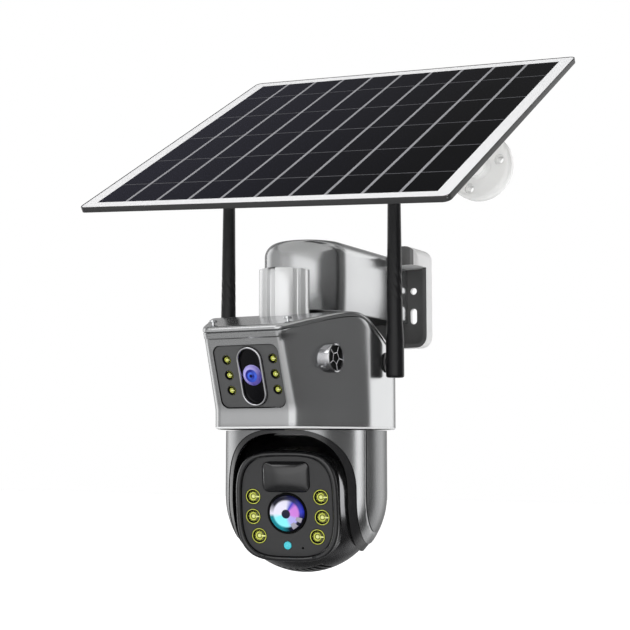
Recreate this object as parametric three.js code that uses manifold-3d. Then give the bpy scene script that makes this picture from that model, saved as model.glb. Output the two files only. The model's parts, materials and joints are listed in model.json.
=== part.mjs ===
// Solar-powered security camera: a wall bracket with an arm, an upper housing with a fixed
// camera, a panning yoke with a tilting ball camera, two aerials, and a solar panel on its
// own wall bracket. Millimetres, +Z up, the wall is the plane Y = 0 and the front faces -Y.
// The origin is the middle of the camera wall plate's back face.
import * as THREE from 'three';
import { mergeVertices } from 'three/addons/utils/BufferGeometryUtils.js';
import Module from 'manifold-3d';

const wasm = await Module();
wasm.setup();

// ---- Driving dimensions -------------------------------------------------------------
const GAP = 0.3;                       // running and seating gap between pieces
const WALL = 2.4;                      // moulded wall thickness
const PAN_Y = -95;                     // pan axis, in front of the wall
const HEAD_Z = -129.5;                 // centre of the ball head, on the pan axis
const HOUSING_YAW = 3;                 // upper housing turned on its neck, degrees
const YOKE_YAW = 13;                   // yoke at rest, turned from straight ahead
const HEAD_TILT = 7.5;                 // ball head at rest, looking down

// Upper housing, measured from the ball centre on the pan axis.
const HOUSING = { bottom: 40, lean: 51, frontTop: 98, front: -66, frontTopY: -82.5,
  frontHalf: 23.5, corner: 29.5, side: 52, rear: 54, neckY: -13, rearY: 14 };
const ROOF_PROFILE = [[-100, 96.4], [-82.5, 98.5], [-46, 107.8], [-33, 110], [-22, 109],
  [6, 96], [64, 66.5]];                // y, z of the roof line from front to rear
const ROOF_THICK = 3;
const LEAN = Math.atan2(HOUSING.front - HOUSING.frontTopY, HOUSING.frontTop - HOUSING.lean);

// Fixed camera window, on the leaning front face.
const WINDOW = { halfW: 21.7, halfH: 19.2, radius: 5, up: 20 };
const STADIUM = { x: 1.9, halfW: 8.5, halfH: 18.2, rim: 1.3 };
const FIXED_LED = { radius: 2.6, spread: 15.35, pitch: 9.3 };

// Yoke and ball head.
const YOKE = { radius: 50.4, wall: 2.3, top: 39.3, deck: 36.6, openHalf: 40.6, openTop: 40,
  trimHalf: 36.4, trimTop: 37.5, trimDeep: 3.6, inner: 36.5, innerWall: 1.6, cover: 44.4 };
const BALL = { radius: 47.8, half: 35.9, barrel: 35.8, hub: 7 };
const FACE = { halfW: 32, halfH: 33, z: -0.8, plateW: 28.4, plateH: 30, power: 3.4,
  front: 41, plate: 39.4 };
const MAIN_LENS = { radius: 12.1, z: -4.9 };
const HEAD_LEDS = [[21.2, 4.9], [21.6, -7.1], [18.2, -18.7]];
const HEAD_LED_RADIUS = 4.5;
const PIR = { halfW: 14.5, halfH: 8.9, z: 16.9 };

// Gears, module 1.
const PAN_TEETH = 48;
const TILT_TEETH = 24;
const PINION_TEETH = 12;
const SHAFT = 2.4;                     // pinion shaft radius

// Inside the housing and the ball, relative to the ball centre.
const PAN_MOTOR = { radius: 14, bottom: 50.5, top: 69 };
const BATTERY_CELL = { radius: 9.2, half: 32.5, places: [[0, 71], [20, 71], [-10, 87]] };
const MAIN_BOARD = { half: 28, y: -49, thick: 1.6, bottom: 60, top: 94 };
const TILT_MOTOR = { radius: 11, left: -27.6, right: -12 };
const SENSOR_BOARD = { half: 22, y: -22.4, thick: 1.6 };
const STATUS = { x: -0.5, z: -24.2, radius: 2.3 };
const MIC = { x: 9, z: -25.6, radius: 0.7 };

// Wall plate, arm and neck.
const PLATE = { halfW: 43.5, halfH: 33.5, depth: 9, sheet: 2.8, block: 12.8, blockDepth: 27,
  holeX: 31, holeZ: 5.8, holeR: 2.4, slotZ: -11.5, slotHalf: 5.4 };
const ARM = { half: 28, noseY: -92.5, bottom: -16.5, top: 28.5, round: 9 };
const NECK = { y: -127, radius: 15, top: 7.5, bottom: -26 };

// Aerials.
const AERIAL = { pivotZ: 81, baseZ: 71.5, tipZ: 195, baseR: 5.6, tipR: 4,
  left: { x: -62, y: 3.6 }, right: { x: 59, y: 6.6 } };

// Solar panel and its bracket.
const PANEL = { width: 240, depth: 223.8, thick: 3.4, rim: 1.4,
  centre: [31.8, -114.3, 94.8], yaw: -2, tilt: 33, roll: 4.6 };
const BASE = { x: 81.3, z: 86.9, radius: 23, thick: 8, boss: 9, bossEnd: 15, holeOut: 16 };
const KNUCKLE = { y: -78, radius: 8, half: 4.5, cheek: 4 };

// ---- Materials ----------------------------------------------------------------------
const material = (color, roughness, metalness) =>
  new THREE.MeshStandardMaterial({ color, roughness, metalness });
const SILVER = material(0x9a9c9e, 0.32, 0.7);
const SILVER_LIGHT = material(0xc4c6c8, 0.35, 0.5);
const PLATE_GREY = material(0xb9bbbd, 0.45, 0.2);
const DARK = material(0x3a3b3d, 0.35, 0.1);
const BLACK = material(0x141416, 0.45, 0.0);
const GLASS = material(0x08090c, 0.08, 0.0);
const LENS = material(0x1d2468, 0.05, 0.0);
const LED = material(0xd3dc4a, 0.3, 0.0);
const CYAN = material(0x39c3d6, 0.4, 0.0);
const WHITE = material(0xf2f2f0, 0.25, 0.0);
const CELLS = material(0x11121c, 0.2, 0.1);
const RUBBER = material(0x1c1c1c, 0.8, 0.0);
const BOARD = material(0x1f5b34, 0.6, 0.0);
const STEEL = material(0xa8aaad, 0.3, 1.0);
const NYLON = material(0xe6e3da, 0.6, 0.0);
const BATTERY = material(0x2f6fae, 0.5, 0.0);

// ---- Solids -------------------------------------------------------------------------
const rad = THREE.MathUtils.degToRad;

function solid(geometry) {
  const bare = geometry.clone();
  bare.deleteAttribute('normal');
  bare.deleteAttribute('uv');
  const merged = mergeVertices(bare, 1e-4);
  return new wasm.Manifold(new wasm.Mesh({
    numProp: 3,
    vertProperties: new Float32Array(merged.attributes.position.array),
    triVerts: new Uint32Array(merged.index.array),
  }));
}

function geometryOf(body) {
  const mesh = body.getMesh();
  const geometry = new THREE.BufferGeometry();
  geometry.setAttribute('position', new THREE.BufferAttribute(mesh.vertProperties, 3));
  geometry.setIndex(new THREE.BufferAttribute(mesh.triVerts, 1));
  geometry.computeVertexNormals();
  return geometry;
}

const union = (...bodies) => bodies.reduce((sum, body) => sum.add(body));
const cut = (body, ...tools) => tools.reduce((rest, tool) => rest.subtract(tool), body);

function box(x0, x1, y0, y1, z0, z1) {
  const geometry = new THREE.BoxGeometry(x1 - x0, y1 - y0, z1 - z0);
  return solid(geometry.translate((x0 + x1) / 2, (y0 + y1) / 2, (z0 + z1) / 2));
}

// A cylinder or cone along Z, from z0 to z1.
function rod(radius, z0, z1, segments = 24, topRadius = radius) {
  const geometry = new THREE.CylinderGeometry(topRadius, radius, z1 - z0, segments);
  return solid(geometry.rotateX(Math.PI / 2).translate(0, 0, (z0 + z1) / 2));
}

function rodX(radius, x0, x1, y = 0, z = 0, segments = 24) {
  const geometry = new THREE.CylinderGeometry(radius, radius, x1 - x0, segments);
  return solid(geometry.rotateZ(Math.PI / 2).translate((x0 + x1) / 2, y, z));
}

function rodY(radius, y0, y1, x = 0, z = 0, segments = 24) {
  const geometry = new THREE.CylinderGeometry(radius, radius, y1 - y0, segments);
  return solid(geometry.translate(x, (y0 + y1) / 2, z));
}

// A lathed body about Z; the profile's points are [radius, z] from axis to axis.
function turned(profile, segments = 32) {
  const points = profile.map(([r, z]) => new THREE.Vector2(r, z));
  return solid(new THREE.LatheGeometry(points, segments).rotateX(Math.PI / 2));
}

// An outline of [x, y] points pulled along Z.
function prism(outline, z0, z1) {
  const shape = new THREE.Shape(outline.map(([x, y]) => new THREE.Vector2(x, y)));
  const geometry = new THREE.ExtrudeGeometry(shape, { depth: z1 - z0, bevelEnabled: false });
  return solid(geometry.translate(0, 0, z0));
}

// An outline of [y, z] points pulled along X.
function prismX(outline, x0, x1) {
  const body = prism(outline, x0, x1);
  return body.transform([0, 1, 0, 0, 0, 0, 1, 0, 1, 0, 0, 0, 0, 0, 0, 1]);
}

// An outline of [x, z] points pulled along -Y, from y0 forward to y1.
function prismFront(outline, y0, y1) {
  const body = prism(outline, -y0, -y1);
  return body.transform([1, 0, 0, 0, 0, 0, 1, 0, 0, -1, 0, 0, 0, 0, 0, 1]);
}

// Closed body through equal rings of [x, y, z] points, each ring counterclockwise from +Z.
function loft(rings) {
  const count = rings[0].length;
  const points = rings.flat(2);
  const faces = [];
  for (let level = 0; level + 1 < rings.length; level += 1) {
    for (let i = 0; i < count; i += 1) {
      const a = level * count + i;
      const b = level * count + (i + 1) % count;
      faces.push(a, b, b + count, a, b + count, a + count);
    }
  }
  const top = (rings.length - 1) * count;
  for (let i = 1; i + 1 < count; i += 1) {
    faces.push(0, i + 1, i, top, top + i, top + i + 1);
  }
  const geometry = new THREE.BufferGeometry();
  geometry.setAttribute('position', new THREE.Float32BufferAttribute(points, 3));
  geometry.setIndex(faces);
  return solid(geometry);
}

function superellipse(halfW, halfH, power, segments, cx = 0, cy = 0) {
  return Array.from({ length: segments }, (_, i) => {
    const angle = 2 * Math.PI * i / segments;
    const c = Math.cos(angle);
    const s = Math.sin(angle);
    const x = halfW * Math.sign(c) * Math.abs(c) ** (2 / power);
    const y = halfH * Math.sign(s) * Math.abs(s) ** (2 / power);
    return [cx + x, cy + y];
  });
}

// A rectangle with round corners, as [x, y] points.
function roundedBox(halfW, halfH, radius, steps = 5, cx = 0, cy = 0) {
  const corners = [[1, 1, 0], [-1, 1, 90], [-1, -1, 180], [1, -1, 270]];
  return corners.flatMap(([sx, sy, start]) => Array.from({ length: steps + 1 }, (_, i) => {
    const angle = rad(start + 90 * i / steps);
    return [cx + sx * (halfW - radius) + radius * Math.cos(angle),
      cy + sy * (halfH - radius) + radius * Math.sin(angle)];
  }));
}

// Each point of a convex counterclockwise outline moved inward by the same distance.
function inset(outline, distance) {
  const count = outline.length;
  return outline.map(([x, y], i) => {
    const [ax, ay] = outline[(i + count - 1) % count];
    const [bx, by] = outline[(i + 1) % count];
    const length = Math.hypot(bx - ax, by - ay);
    return [x - (by - ay) / length * distance, y + (bx - ax) / length * distance];
  });
}

// Spur gear outline with generous backlash; one tooth is centred on the given direction.
function gearOutline(teeth, direction) {
  const pitch = teeth / 2;
  const backlash = 0.82;
  const tooth = 2 * Math.PI / teeth;
  const flanks = [[pitch - 1.15, 0.43 * backlash], [pitch + 0.8, 0.13 * backlash]];
  const outline = [];
  for (let i = 0; i < teeth; i += 1) {
    const middle = direction + i * tooth;
    flanks.forEach(([r, part]) => outline.push([r, middle - part * tooth]));
    [...flanks].reverse().forEach(([r, part]) => outline.push([r, middle + part * tooth]));
  }
  return outline.map(([r, angle]) => [r * Math.cos(angle), r * Math.sin(angle)]);
}

// ---- Placing ------------------------------------------------------------------------
const camera = new THREE.Group();

function group(parent, position, rotation = [0, 0, 0], order = 'XYZ') {
  const made = new THREE.Group();
  made.position.set(...position);
  made.rotation.set(...rotation.map(rad), order);
  parent.add(made);
  return made;
}

function add(parent, name, body, surface) {
  const mesh = new THREE.Mesh(geometryOf(body), surface);
  mesh.name = name;
  parent.add(mesh);
}

const axisPoint = [0, PAN_Y, HEAD_Z];
const housing = group(camera, axisPoint, [0, 0, HOUSING_YAW]);
const yoke = group(camera, axisPoint, [0, 0, YOKE_YAW]);
const head = group(yoke, [0, 0, 0], [HEAD_TILT, 0, 0]);

// ---- Wall plate, arm and neck -------------------------------------------------------
function armOutline(margin) {
  const half = ARM.half + margin;
  const nose = Array.from({ length: 17 }, (_, i) => {
    const angle = Math.PI + Math.PI * i / 16;
    return [half * Math.cos(angle), ARM.noseY + half * Math.sin(angle)];
  });
  const back = -PLATE.sheet - GAP + margin;
  return [...nose, [half - 1.5, back], [-half + 1.5, back]];
}

function armBody(margin, bottom) {
  const rounded = [[1, 0], [0.62, 0.1], [0.3, 0.32], [0.09, 0.6], [0, 1]];
  const height = ARM.top + margin;
  const rings = [armOutline(margin).map(([x, y]) => [x, y, bottom])];
  rounded.forEach(([down, pulled]) => {
    const outline = inset(armOutline(margin), pulled * ARM.round);
    rings.push(outline.map(([x, y]) => [x, Math.min(y, -PLATE.sheet - GAP + margin),
      height - down * ARM.round]));
  });
  return loft(rings);
}

function wallPlate() {
  const outline = roundedBox(PLATE.halfW, PLATE.halfH, 7.5);
  const pocket = inset(outline, PLATE.sheet);
  const tray = cut(prismFront(outline, 0, -PLATE.depth),
    prismFront(pocket, -PLATE.sheet, -PLATE.depth - 1));
  const top = PLATE.halfH;
  const block = roundedBox(PLATE.halfW, PLATE.blockDepth, 6, 4);
  const cap = cut(prism(block, top - PLATE.block, top),
    box(-60, 60, 0, 60, top - 20, top + 1));
  const holes = [-1, 1].flatMap((side) => [
    rodY(PLATE.holeR, -5, 1, side * PLATE.holeX, PLATE.holeZ, 16),
    prismFront(roundedBox(PLATE.holeR, PLATE.slotHalf, PLATE.holeR - 0.05, 5,
      side * PLATE.holeX, PLATE.slotZ), 1, -5),
  ]);
  const rounder = prismFront(outline, 1, -PLATE.blockDepth - 1);
  const keep = cap.intersect(rounder);
  const notch = box(-ARM.half, ARM.half, -60, 1, ARM.top - 0.5, 60);
  return cut(union(tray, keep), ...holes, notch, armBody(GAP, ARM.bottom - GAP));
}

function armShell() {
  const cavity = armBody(-WALL, ARM.bottom - 5);
  return cut(armBody(0, ARM.bottom), cavity);
}

function armBottomCover() {
  const outline = armOutline(-WALL - GAP);
  return cut(prism(outline, ARM.bottom, ARM.bottom + 2.4),
    rod(11.2, ARM.bottom - 1, ARM.bottom + 4).translate([0, PAN_Y, 0]));
}

// The hollow spigot that carries the housing and passes the wires up into the arm.
function neckPost() {
  const z0 = HEAD_Z + 97.6;
  const post = union(rod(10.6, z0, ARM.bottom + 5, 28),
    rod(15, ARM.bottom + 2.4 + GAP, ARM.bottom + 5, 28));
  return cut(post, rod(8, z0 - 1, ARM.bottom + 6, 28)).translate([0, PAN_Y, 0]);
}

function neckColumn() {
  const flutes = [215, 247, 291, 322];
  const channels = flutes.map((degrees) => {
    const r = NECK.radius + 0.6;
    return rod(2.6, NECK.bottom - 1, NECK.top + 1, 10)
      .translate([r * Math.cos(rad(degrees)), NECK.y + r * Math.sin(rad(degrees)), 0]);
  });
  const column = rod(NECK.radius, NECK.bottom, NECK.top, 40).translate([0, NECK.y, 0]);
  const under = ROOF_PROFILE.map(([y, z]) => [y, z + GAP]);
  const roof = prismX([[-100, 60], [64, 60], ...under.reverse()], -70, 70)
    .translate([0, PAN_Y, HEAD_Z]);
  return cut(column, armBody(GAP, ARM.bottom - 12), roof, ...channels);
}

add(camera, 'wall_plate', wallPlate(), PLATE_GREY);
add(camera, 'arm_shell', armShell(), SILVER);
add(camera, 'arm_bottom_cover', armBottomCover(), DARK);
add(camera, 'neck_post', neckPost(), DARK);
add(camera, 'neck_column', neckColumn(), SILVER_LIGHT);

// ---- Upper housing ------------------------------------------------------------------
// Plan outline at one height: a flat nose, flaring cheeks, flat sides and a round back.
function housingOutline(z, distance = 0) {
  const { front, frontHalf, corner, side, rear, neckY, rearY } = HOUSING;
  const path = new THREE.Path();
  path.moveTo(0, front);
  path.lineTo(frontHalf, front);
  path.quadraticCurveTo(corner - 1.5, front, corner, front + 4.8);
  path.bezierCurveTo(corner + 9, front + 23, side, front + 37, side, neckY);
  path.lineTo(side, rearY);
  path.absellipse(0, rearY, side, rear - rearY, 0, Math.PI / 2, false);
  const half = path.getPoints(5).map((p) => [p.x, p.y]);
  const mirrored = half.slice(1, -1).reverse().map(([x, y]) => [-x, y]);
  const outline = inset([...half, ...mirrored], distance);
  const reach = Math.max(0, z - HOUSING.lean) / (HOUSING.frontTop - HOUSING.lean);
  const stretch = reach * ((HOUSING.frontTopY - neckY) / (front - neckY) - 1);
  return outline.map(([x, y]) => [x, y < neckY ? neckY + (y - neckY) * (1 + stretch) : y, z]);
}

function housingBody(distance, bottom, top = 112) {
  const levels = [bottom, HOUSING.lean, top];
  return loft(levels.map((z) => housingOutline(z, distance)));
}

function belowRoof(drop) {
  const line = ROOF_PROFILE.map(([y, z]) => [y, z - drop]);
  return prismX([[-100, 0], [64, 0], ...line.reverse()], -70, 70);
}

// Frame of the leaning front face: x to the right, y up the face, z outward.
const facePivot = [0, HOUSING.front, HOUSING.lean];
const windowMatrix = new THREE.Matrix4()
  .makeTranslation(...facePivot)
  .multiply(new THREE.Matrix4().makeRotationX(Math.PI / 2 + LEAN))
  .multiply(new THREE.Matrix4().makeTranslation(0, WINDOW.up, 0));
const onWindow = (body) => body.transform(windowMatrix.toArray());

const SPEAKER = { x: 41.7, y: -48.5, z: 81, radius: 8.6, end: 45 };
const SOCKET_BORE = 4.4;
const RESET = { x: -14, z: 52, radius: 3 };
const INLET = { x: 14, z: 52, radius: 4.6 };
const REAR_Y = 52.5;

function upperShell() {
  const tall = housingBody(0, HOUSING.bottom).intersect(belowRoof(ROOF_THICK + GAP));
  const rebate = cut(housingBody(1.4, 60), belowRoof(ROOF_THICK + 1.7));
  const hollow = housingBody(WALL, HOUSING.bottom - 1);
  const aperture = onWindow(prism(roundedBox(WINDOW.halfW, WINDOW.halfH, WINDOW.radius),
    -6, 4));
  const sockets = union(rodX(SOCKET_BORE, -60, 0, AERIAL.left.y, AERIAL.pivotZ, 16),
    rodX(SOCKET_BORE, 0, 60, AERIAL.right.y, AERIAL.pivotZ, 16));
  const speaker = rodX(6, 30, 60, SPEAKER.y, SPEAKER.z, 16);
  const reset = rodY(RESET.radius, 40, 60, RESET.x, RESET.z, 16);
  const inlet = rodY(INLET.radius, 40, 60, INLET.x, INLET.z, 16);
  return cut(tall, rebate, hollow, aperture, sockets, speaker, reset, inlet);
}

function roofCover() {
  const band = cut(housingBody(0, 60).intersect(belowRoof(0)), belowRoof(ROOF_THICK));
  return cut(band, rod(11, 80, 115, 28), ...roofScrewPlaces().map(([x, y, z]) =>
    rod(1.5, z - 8, z + 8, 10).translate([x, y, 0])));
}

function roofGasket() {
  const ring = cut(housingBody(1.6, 60), housingBody(WALL + 1.2, 59));
  return cut(ring.intersect(belowRoof(ROOF_THICK + 0.15)), belowRoof(ROOF_THICK + 1.5));
}

function roofHeight(y) {
  const after = ROOF_PROFILE.findIndex((point) => point[0] > y);
  const [y0, z0] = ROOF_PROFILE[after - 1];
  const [y1, z1] = ROOF_PROFILE[after];
  return z0 + (z1 - z0) * (y - y0) / (y1 - y0);
}

function roofScrewPlaces() {
  const places = [[25, -72], [44, -14], [-25, -72], [-44, -14]];
  return places.map(([x, y]) => [x, y, roofHeight(y)]);
}

function roofScrew([x, y, z]) {
  const screw = union(rod(2.4, z + 1.4, z + 2.6, 12), rod(1.1, z - 7, z + 1.6, 8));
  return screw.translate([x, y, 0]);
}

add(housing, 'upper_shell', upperShell(), SILVER);
add(housing, 'roof_cover', roofCover(), SILVER);
add(housing, 'roof_gasket', roofGasket(), RUBBER);
roofScrewPlaces().forEach((place, i) => add(housing, `roof_screw_${i + 1}`,
  roofScrew(place), STEEL));

// ---- Fixed camera -------------------------------------------------------------------
const stadium = (grow) => roundedBox(STADIUM.halfW + grow, STADIUM.halfH + grow,
  STADIUM.halfW + grow - 0.05, 6, STADIUM.x);

function fixedWindow() {
  const plate = prism(roundedBox(WINDOW.halfW - GAP, WINDOW.halfH - GAP, WINDOW.radius),
    -2.3, -0.4);
  const holes = [-1, 1].flatMap((side) => [-1, 0, 1].map((row) =>
    rod(FIXED_LED.radius + GAP, -4, 2, 12).translate([STADIUM.x + side * FIXED_LED.spread,
      row * FIXED_LED.pitch + 1, 0])));
  return onWindow(cut(plate, prism(stadium(0), -4, 2), ...holes));
}

// Three lamp cups moulded with the strip board that carries them.
function lampStrip(places, radius, depth) {
  const cups = places.map(([x, y]) => {
    const cup = turned([[0, -depth], [radius, -depth], [radius, 0], [radius * 0.8, 0],
      [radius * 0.35, -depth * 0.55], [0, -depth * 0.3]], 12);
    return cup.translate([x, y, 0]);
  });
  const xs = places.map(([x]) => x);
  const ys = places.map(([, y]) => y);
  const strip = box(Math.min(...xs) - radius * 0.4, Math.max(...xs) + radius * 0.4,
    Math.min(...ys) - radius * 0.6, Math.max(...ys) + radius * 0.6, -depth - 1.2, -depth + 0.3);
  return union(strip, ...cups);
}

function fixedLeds(side) {
  const places = [-1, 0, 1].map((row) => [STADIUM.x + side * FIXED_LED.spread,
    row * FIXED_LED.pitch + 1]);
  return onWindow(lampStrip(places, FIXED_LED.radius, 3).translate([0, 0, -0.3]));
}

function fixedLens() {
  const barrel = turned([[0, -14], [6.5, -14], [6.5, -4.4], [5.6, -4.4], [5.2, -3.2],
    [3.6, -2.5], [0, -2.1]], 24);
  return onWindow(barrel.translate([STADIUM.x, 0.6, -1.7]));
}

add(housing, 'fixed_window', fixedWindow(), DARK);
add(housing, 'fixed_bezel', onWindow(cut(prism(stadium(-GAP), -2.3, 0.9),
  prism(stadium(-STADIUM.rim - GAP), -4, 2))), SILVER_LIGHT);
add(housing, 'fixed_glass', onWindow(prism(stadium(-STADIUM.rim - 2 * GAP), -2, -0.8)), GLASS);
add(housing, 'fixed_lens', fixedLens(), LENS);
add(housing, 'fixed_leds_left', fixedLeds(-1), LED);
add(housing, 'fixed_leds_right', fixedLeds(1), LED);

// ---- Speaker on the right cheek -----------------------------------------------------
function speakerCap() {
  const { x, y, z, radius, end } = SPEAKER;
  const cap = union(rodX(radius, x - 14, end, y, z, 32),
    box(x - 8, end - 4, y - radius - 2.5, y - radius + 3, z - 7, z - 5.8));
  return cut(cap, housingBody(-GAP, 50), rodX(radius - 1.2, end - 1.8, end + 1, y, z, 32),
    rodX(5, x - 20, end + 1, y, z, 24));
}

function speakerGrille() {
  const { y, z, radius, end } = SPEAKER;
  const disc = rodX(radius - 1.5, end - 1.5, end - 0.3, y, z, 32);
  const holes = Array.from({ length: 5 }, (_, i) => {
    const angle = rad(90 + 72 * i);
    return rodX(1.5, end - 3, end + 1, y + 4.2 * Math.cos(angle),
      z + 4.2 * Math.sin(angle), 10);
  });
  return cut(disc, housingBody(-GAP, 50), ...holes);
}

add(housing, 'speaker_cap', speakerCap(), SILVER_LIGHT);
add(housing, 'speaker_grille', speakerGrille(), BLACK);

// ---- Inside and behind the housing --------------------------------------------------
const PAN_CENTRE = (PAN_TEETH + PINION_TEETH) / 2 + 0.1;

function panBasePlate() {
  const plate = prism(housingOutline(HOUSING.bottom, WALL + GAP).map(([x, y]) => [x, y]),
    HOUSING.bottom, HOUSING.bottom + 2.6);
  return cut(plate, rod(14.6, 30, 50, 32));
}

function panMotor() {
  const { radius, bottom, top } = PAN_MOTOR;
  const shaftHole = rod(SHAFT + 0.4, bottom - 2.5, bottom + 9.5, 12);
  return cut(rod(radius, bottom, top, 28), shaftHole).translate([0, -PAN_CENTRE, 0]);
}

add(housing, 'pan_base_plate', panBasePlate(), DARK);
add(housing, 'pan_motor', panMotor(), STEEL);
add(housing, 'main_board', box(-MAIN_BOARD.half, MAIN_BOARD.half, MAIN_BOARD.y,
  MAIN_BOARD.y + MAIN_BOARD.thick, MAIN_BOARD.bottom, MAIN_BOARD.top), BOARD);
BATTERY_CELL.places.forEach(([y, z], i) => add(housing, `battery_cell_${i + 1}`,
  rodX(BATTERY_CELL.radius, -BATTERY_CELL.half, BATTERY_CELL.half, y, z, 18), BATTERY));

function antennaSocket(place) {
  const flange = rodX(6.2, 52.3, 52.8, place.y, AERIAL.pivotZ, 20);
  const neck = rodX(SOCKET_BORE - GAP, 46, 52.5, place.y, AERIAL.pivotZ, 16);
  const socket = union(flange, neck);
  return place.x > 0 ? socket : socket.mirror([1, 0, 0]);
}

add(housing, 'antenna_socket_right', antennaSocket(AERIAL.right), DARK);
add(housing, 'antenna_socket_left', antennaSocket(AERIAL.left), DARK);
add(housing, 'reset_button', union(rodY(2.6, 46, 54.5, RESET.x, RESET.z, 16),
  rodY(4, 44, 46.2, RESET.x, RESET.z, 16)), RUBBER);
add(housing, 'charge_port_cap', union(rodY(4.2, 44, 54, INLET.x, INLET.z, 20),
  rodY(6.4, REAR_Y + 1.5, REAR_Y + 3.6, INLET.x, INLET.z, 24)), RUBBER);

// ---- Yoke ---------------------------------------------------------------------------
function capsule(radius, top, steps = 9, segments = 36) {
  const arc = Array.from({ length: steps + 1 }, (_, i) => {
    const angle = Math.PI / 2 * i / steps;
    return [radius * Math.sin(angle), -radius * Math.cos(angle)];
  });
  arc[0][0] = 0;
  return turned([...arc, [radius, top], [0, top]], segments);
}

// Arch with straight legs, as [x, z] points.
function archOutline(half, top, foot = -60) {
  const arch = superellipse(half, top, 2.6, 36).slice(0, 19);
  return [...arch, [-half, foot], [half, foot]];
}

function yokeShell() {
  const { radius, wall, top, deck, openHalf, openTop, inner, innerWall, cover } = YOKE;
  const skin = cut(capsule(radius, top), capsule(radius - wall, deck));
  const limit = box(-cover, cover, -60, 60, -60, 60);
  const front = prismFront(archOutline(openHalf, openTop), 0, -60);
  const arch = front.intersect(box(-60, 60, -60, 0, -60, deck - GAP));
  const brow = front.intersect(box(-60, 60, -60, -43.5, deck - 1, 60));
  const back = prismFront(archOutline(openHalf, 10), 60, 0);
  const shell = cut(skin.intersect(limit), arch, brow, back);
  const walls = [-1, 1].map((side) => {
    const plate = box(Math.min(side * inner, side * (inner + innerWall)),
      Math.max(side * inner, side * (inner + innerWall)), -60, 60, -60, deck + 1);
    const slab = plate.intersect(capsule(radius - wall + 0.5, top));
    const rims = cut(capsule(radius - 0.4, top), capsule(radius - wall, deck))
      .intersect(box(side > 0 ? inner : -openHalf - 0.5, side > 0 ? openHalf + 0.5 : -inner,
        0, 60, -60, deck));
    const corner = union(slab, rims);
    const hub = rodX(BALL.hub, side > 0 ? 33.3 : -inner - 0.5, side > 0 ? inner + 0.5 : -33.3);
    return union(corner, hub);
  });
  const trimSpace = yokeTrimBody(GAP);
  return cut(union(shell, ...walls), trimSpace,
    rod(9.5, deck - 2, top + 2, 24), rodX(4, -60, 60, 0, 0, 16));
}

function yokeTrimBody(margin) {
  const { radius, trimHalf, trimTop, trimDeep, openHalf, openTop, top } = YOKE;
  const outer = archOutline(openHalf - GAP + margin, openTop - GAP + margin);
  const innerLine = archOutline(trimHalf - margin, trimTop - margin);
  const ring = cut(prismFront(outer, margin, -60), prismFront(innerLine, margin + 1, -61));
  const band = cut(capsule(radius - 0.3 + margin, top - 0.1 + margin),
    capsule(radius - trimDeep - margin, 60));
  return ring.intersect(band);
}

function armCover(side) {
  const { radius, wall, top, cover } = YOKE;
  const skin = cut(capsule(radius, top), capsule(radius - wall, top - wall));
  const half = side > 0 ? box(cover + GAP, 60, -60, 60, -60, 60)
    : box(-60, -cover - GAP, -60, 60, -60, 60);
  return skin.intersect(half);
}

add(yoke, 'yoke_shell', yokeShell(), SILVER);
add(yoke, 'yoke_trim', yokeTrimBody(0), DARK);
add(yoke, 'arm_cover_right', armCover(1), SILVER);
add(yoke, 'arm_cover_left', armCover(-1), SILVER);

// Pan gear on its hollow shaft; the pinion below the motor drives it.
const PAN_GEAR_Z = 44;
add(yoke, 'pan_gear', cut(union(prism(gearOutline(PAN_TEETH,
  rad(-90 + HOUSING_YAW - YOKE_YAW)), PAN_GEAR_Z, PAN_GEAR_Z + 4),
rod(14, YOKE.top + GAP, PAN_GEAR_Z + 4, 28)), rod(9.5, 30, 60, 24)), NYLON);
const panPinion = group(housing, [0, -PAN_CENTRE, PAN_GEAR_Z - 0.3]);
add(panPinion, 'pan_pinion', union(prism(gearOutline(PINION_TEETH,
  rad(90) + Math.PI / PINION_TEETH), 0, 4.6), rod(SHAFT, 4.4, 12, 12)), STEEL);

// Tilt gear fixed to the left arm's hub; the motor in the ball walks its pinion round it.
const TILT_CENTRE = (TILT_TEETH + PINION_TEETH) / 2 + 0.1;
const TILT_X = -31.4;
const alongX = (body) => body.transform([0, 1, 0, 0, 0, 0, 1, 0, 1, 0, 0, 0, 0, 0, 0, 1]);
add(yoke, 'tilt_gear', cut(alongX(prism(gearOutline(TILT_TEETH, rad(90 + HEAD_TILT)),
  TILT_X - 1.5, TILT_X + 2.5)), rodX(4, -60, 60, 0, 0, 16)), NYLON);

// ---- Ball head ----------------------------------------------------------------------
// A ball with flat sides whose top and back are turned down to a barrel about the tilt axis.
function ballBody(radius, half, barrel, segments, drop = 0) {
  const ball = solid(new THREE.SphereGeometry(radius, segments, segments / 2)
    .rotateX(Math.PI / 2));
  const slab = box(-half, half, -60, 60, -60, 60);
  const far = 90;
  const upperBack = [[far, far], [-far, far - drop], [far, -far - drop]];
  const shoulder = cut(prismX(upperBack, -60, 60),
    rodX(barrel, -60, 60, 0, 0, segments));
  return cut(ball.intersect(slab), shoulder);
}

const faceOutline = (halfW, halfH) => superellipse(halfW, halfH, FACE.power, 36, 0, FACE.z);

function headShell() {
  const boss = prismFront(faceOutline(FACE.halfW, FACE.halfH), -22, -38.6)
    .intersect(box(-BALL.half, BALL.half, -60, 0, -60, 60));
  const outer = union(ballBody(BALL.radius, BALL.half, BALL.barrel, 36), boss);
  const hollow = ballBody(BALL.radius - WALL, BALL.half - WALL, BALL.barrel - WALL, 24,
    1.5 * WALL);
  const mouth = prismFront(faceOutline(FACE.plateW + GAP, FACE.plateH + GAP), -18, -60);
  const hubs = rodX(BALL.hub + 0.5, -60, 60);
  const slots = Array.from({ length: 9 }, (_, i) => box(-0.8, 0.8, -5, 5, -60, -40)
    .rotate([0, 0, 22]).translate([(i - 4) * 4, -17, 0]));
  return cut(outer, hollow, mouth, hubs, ...slots);
}

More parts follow.
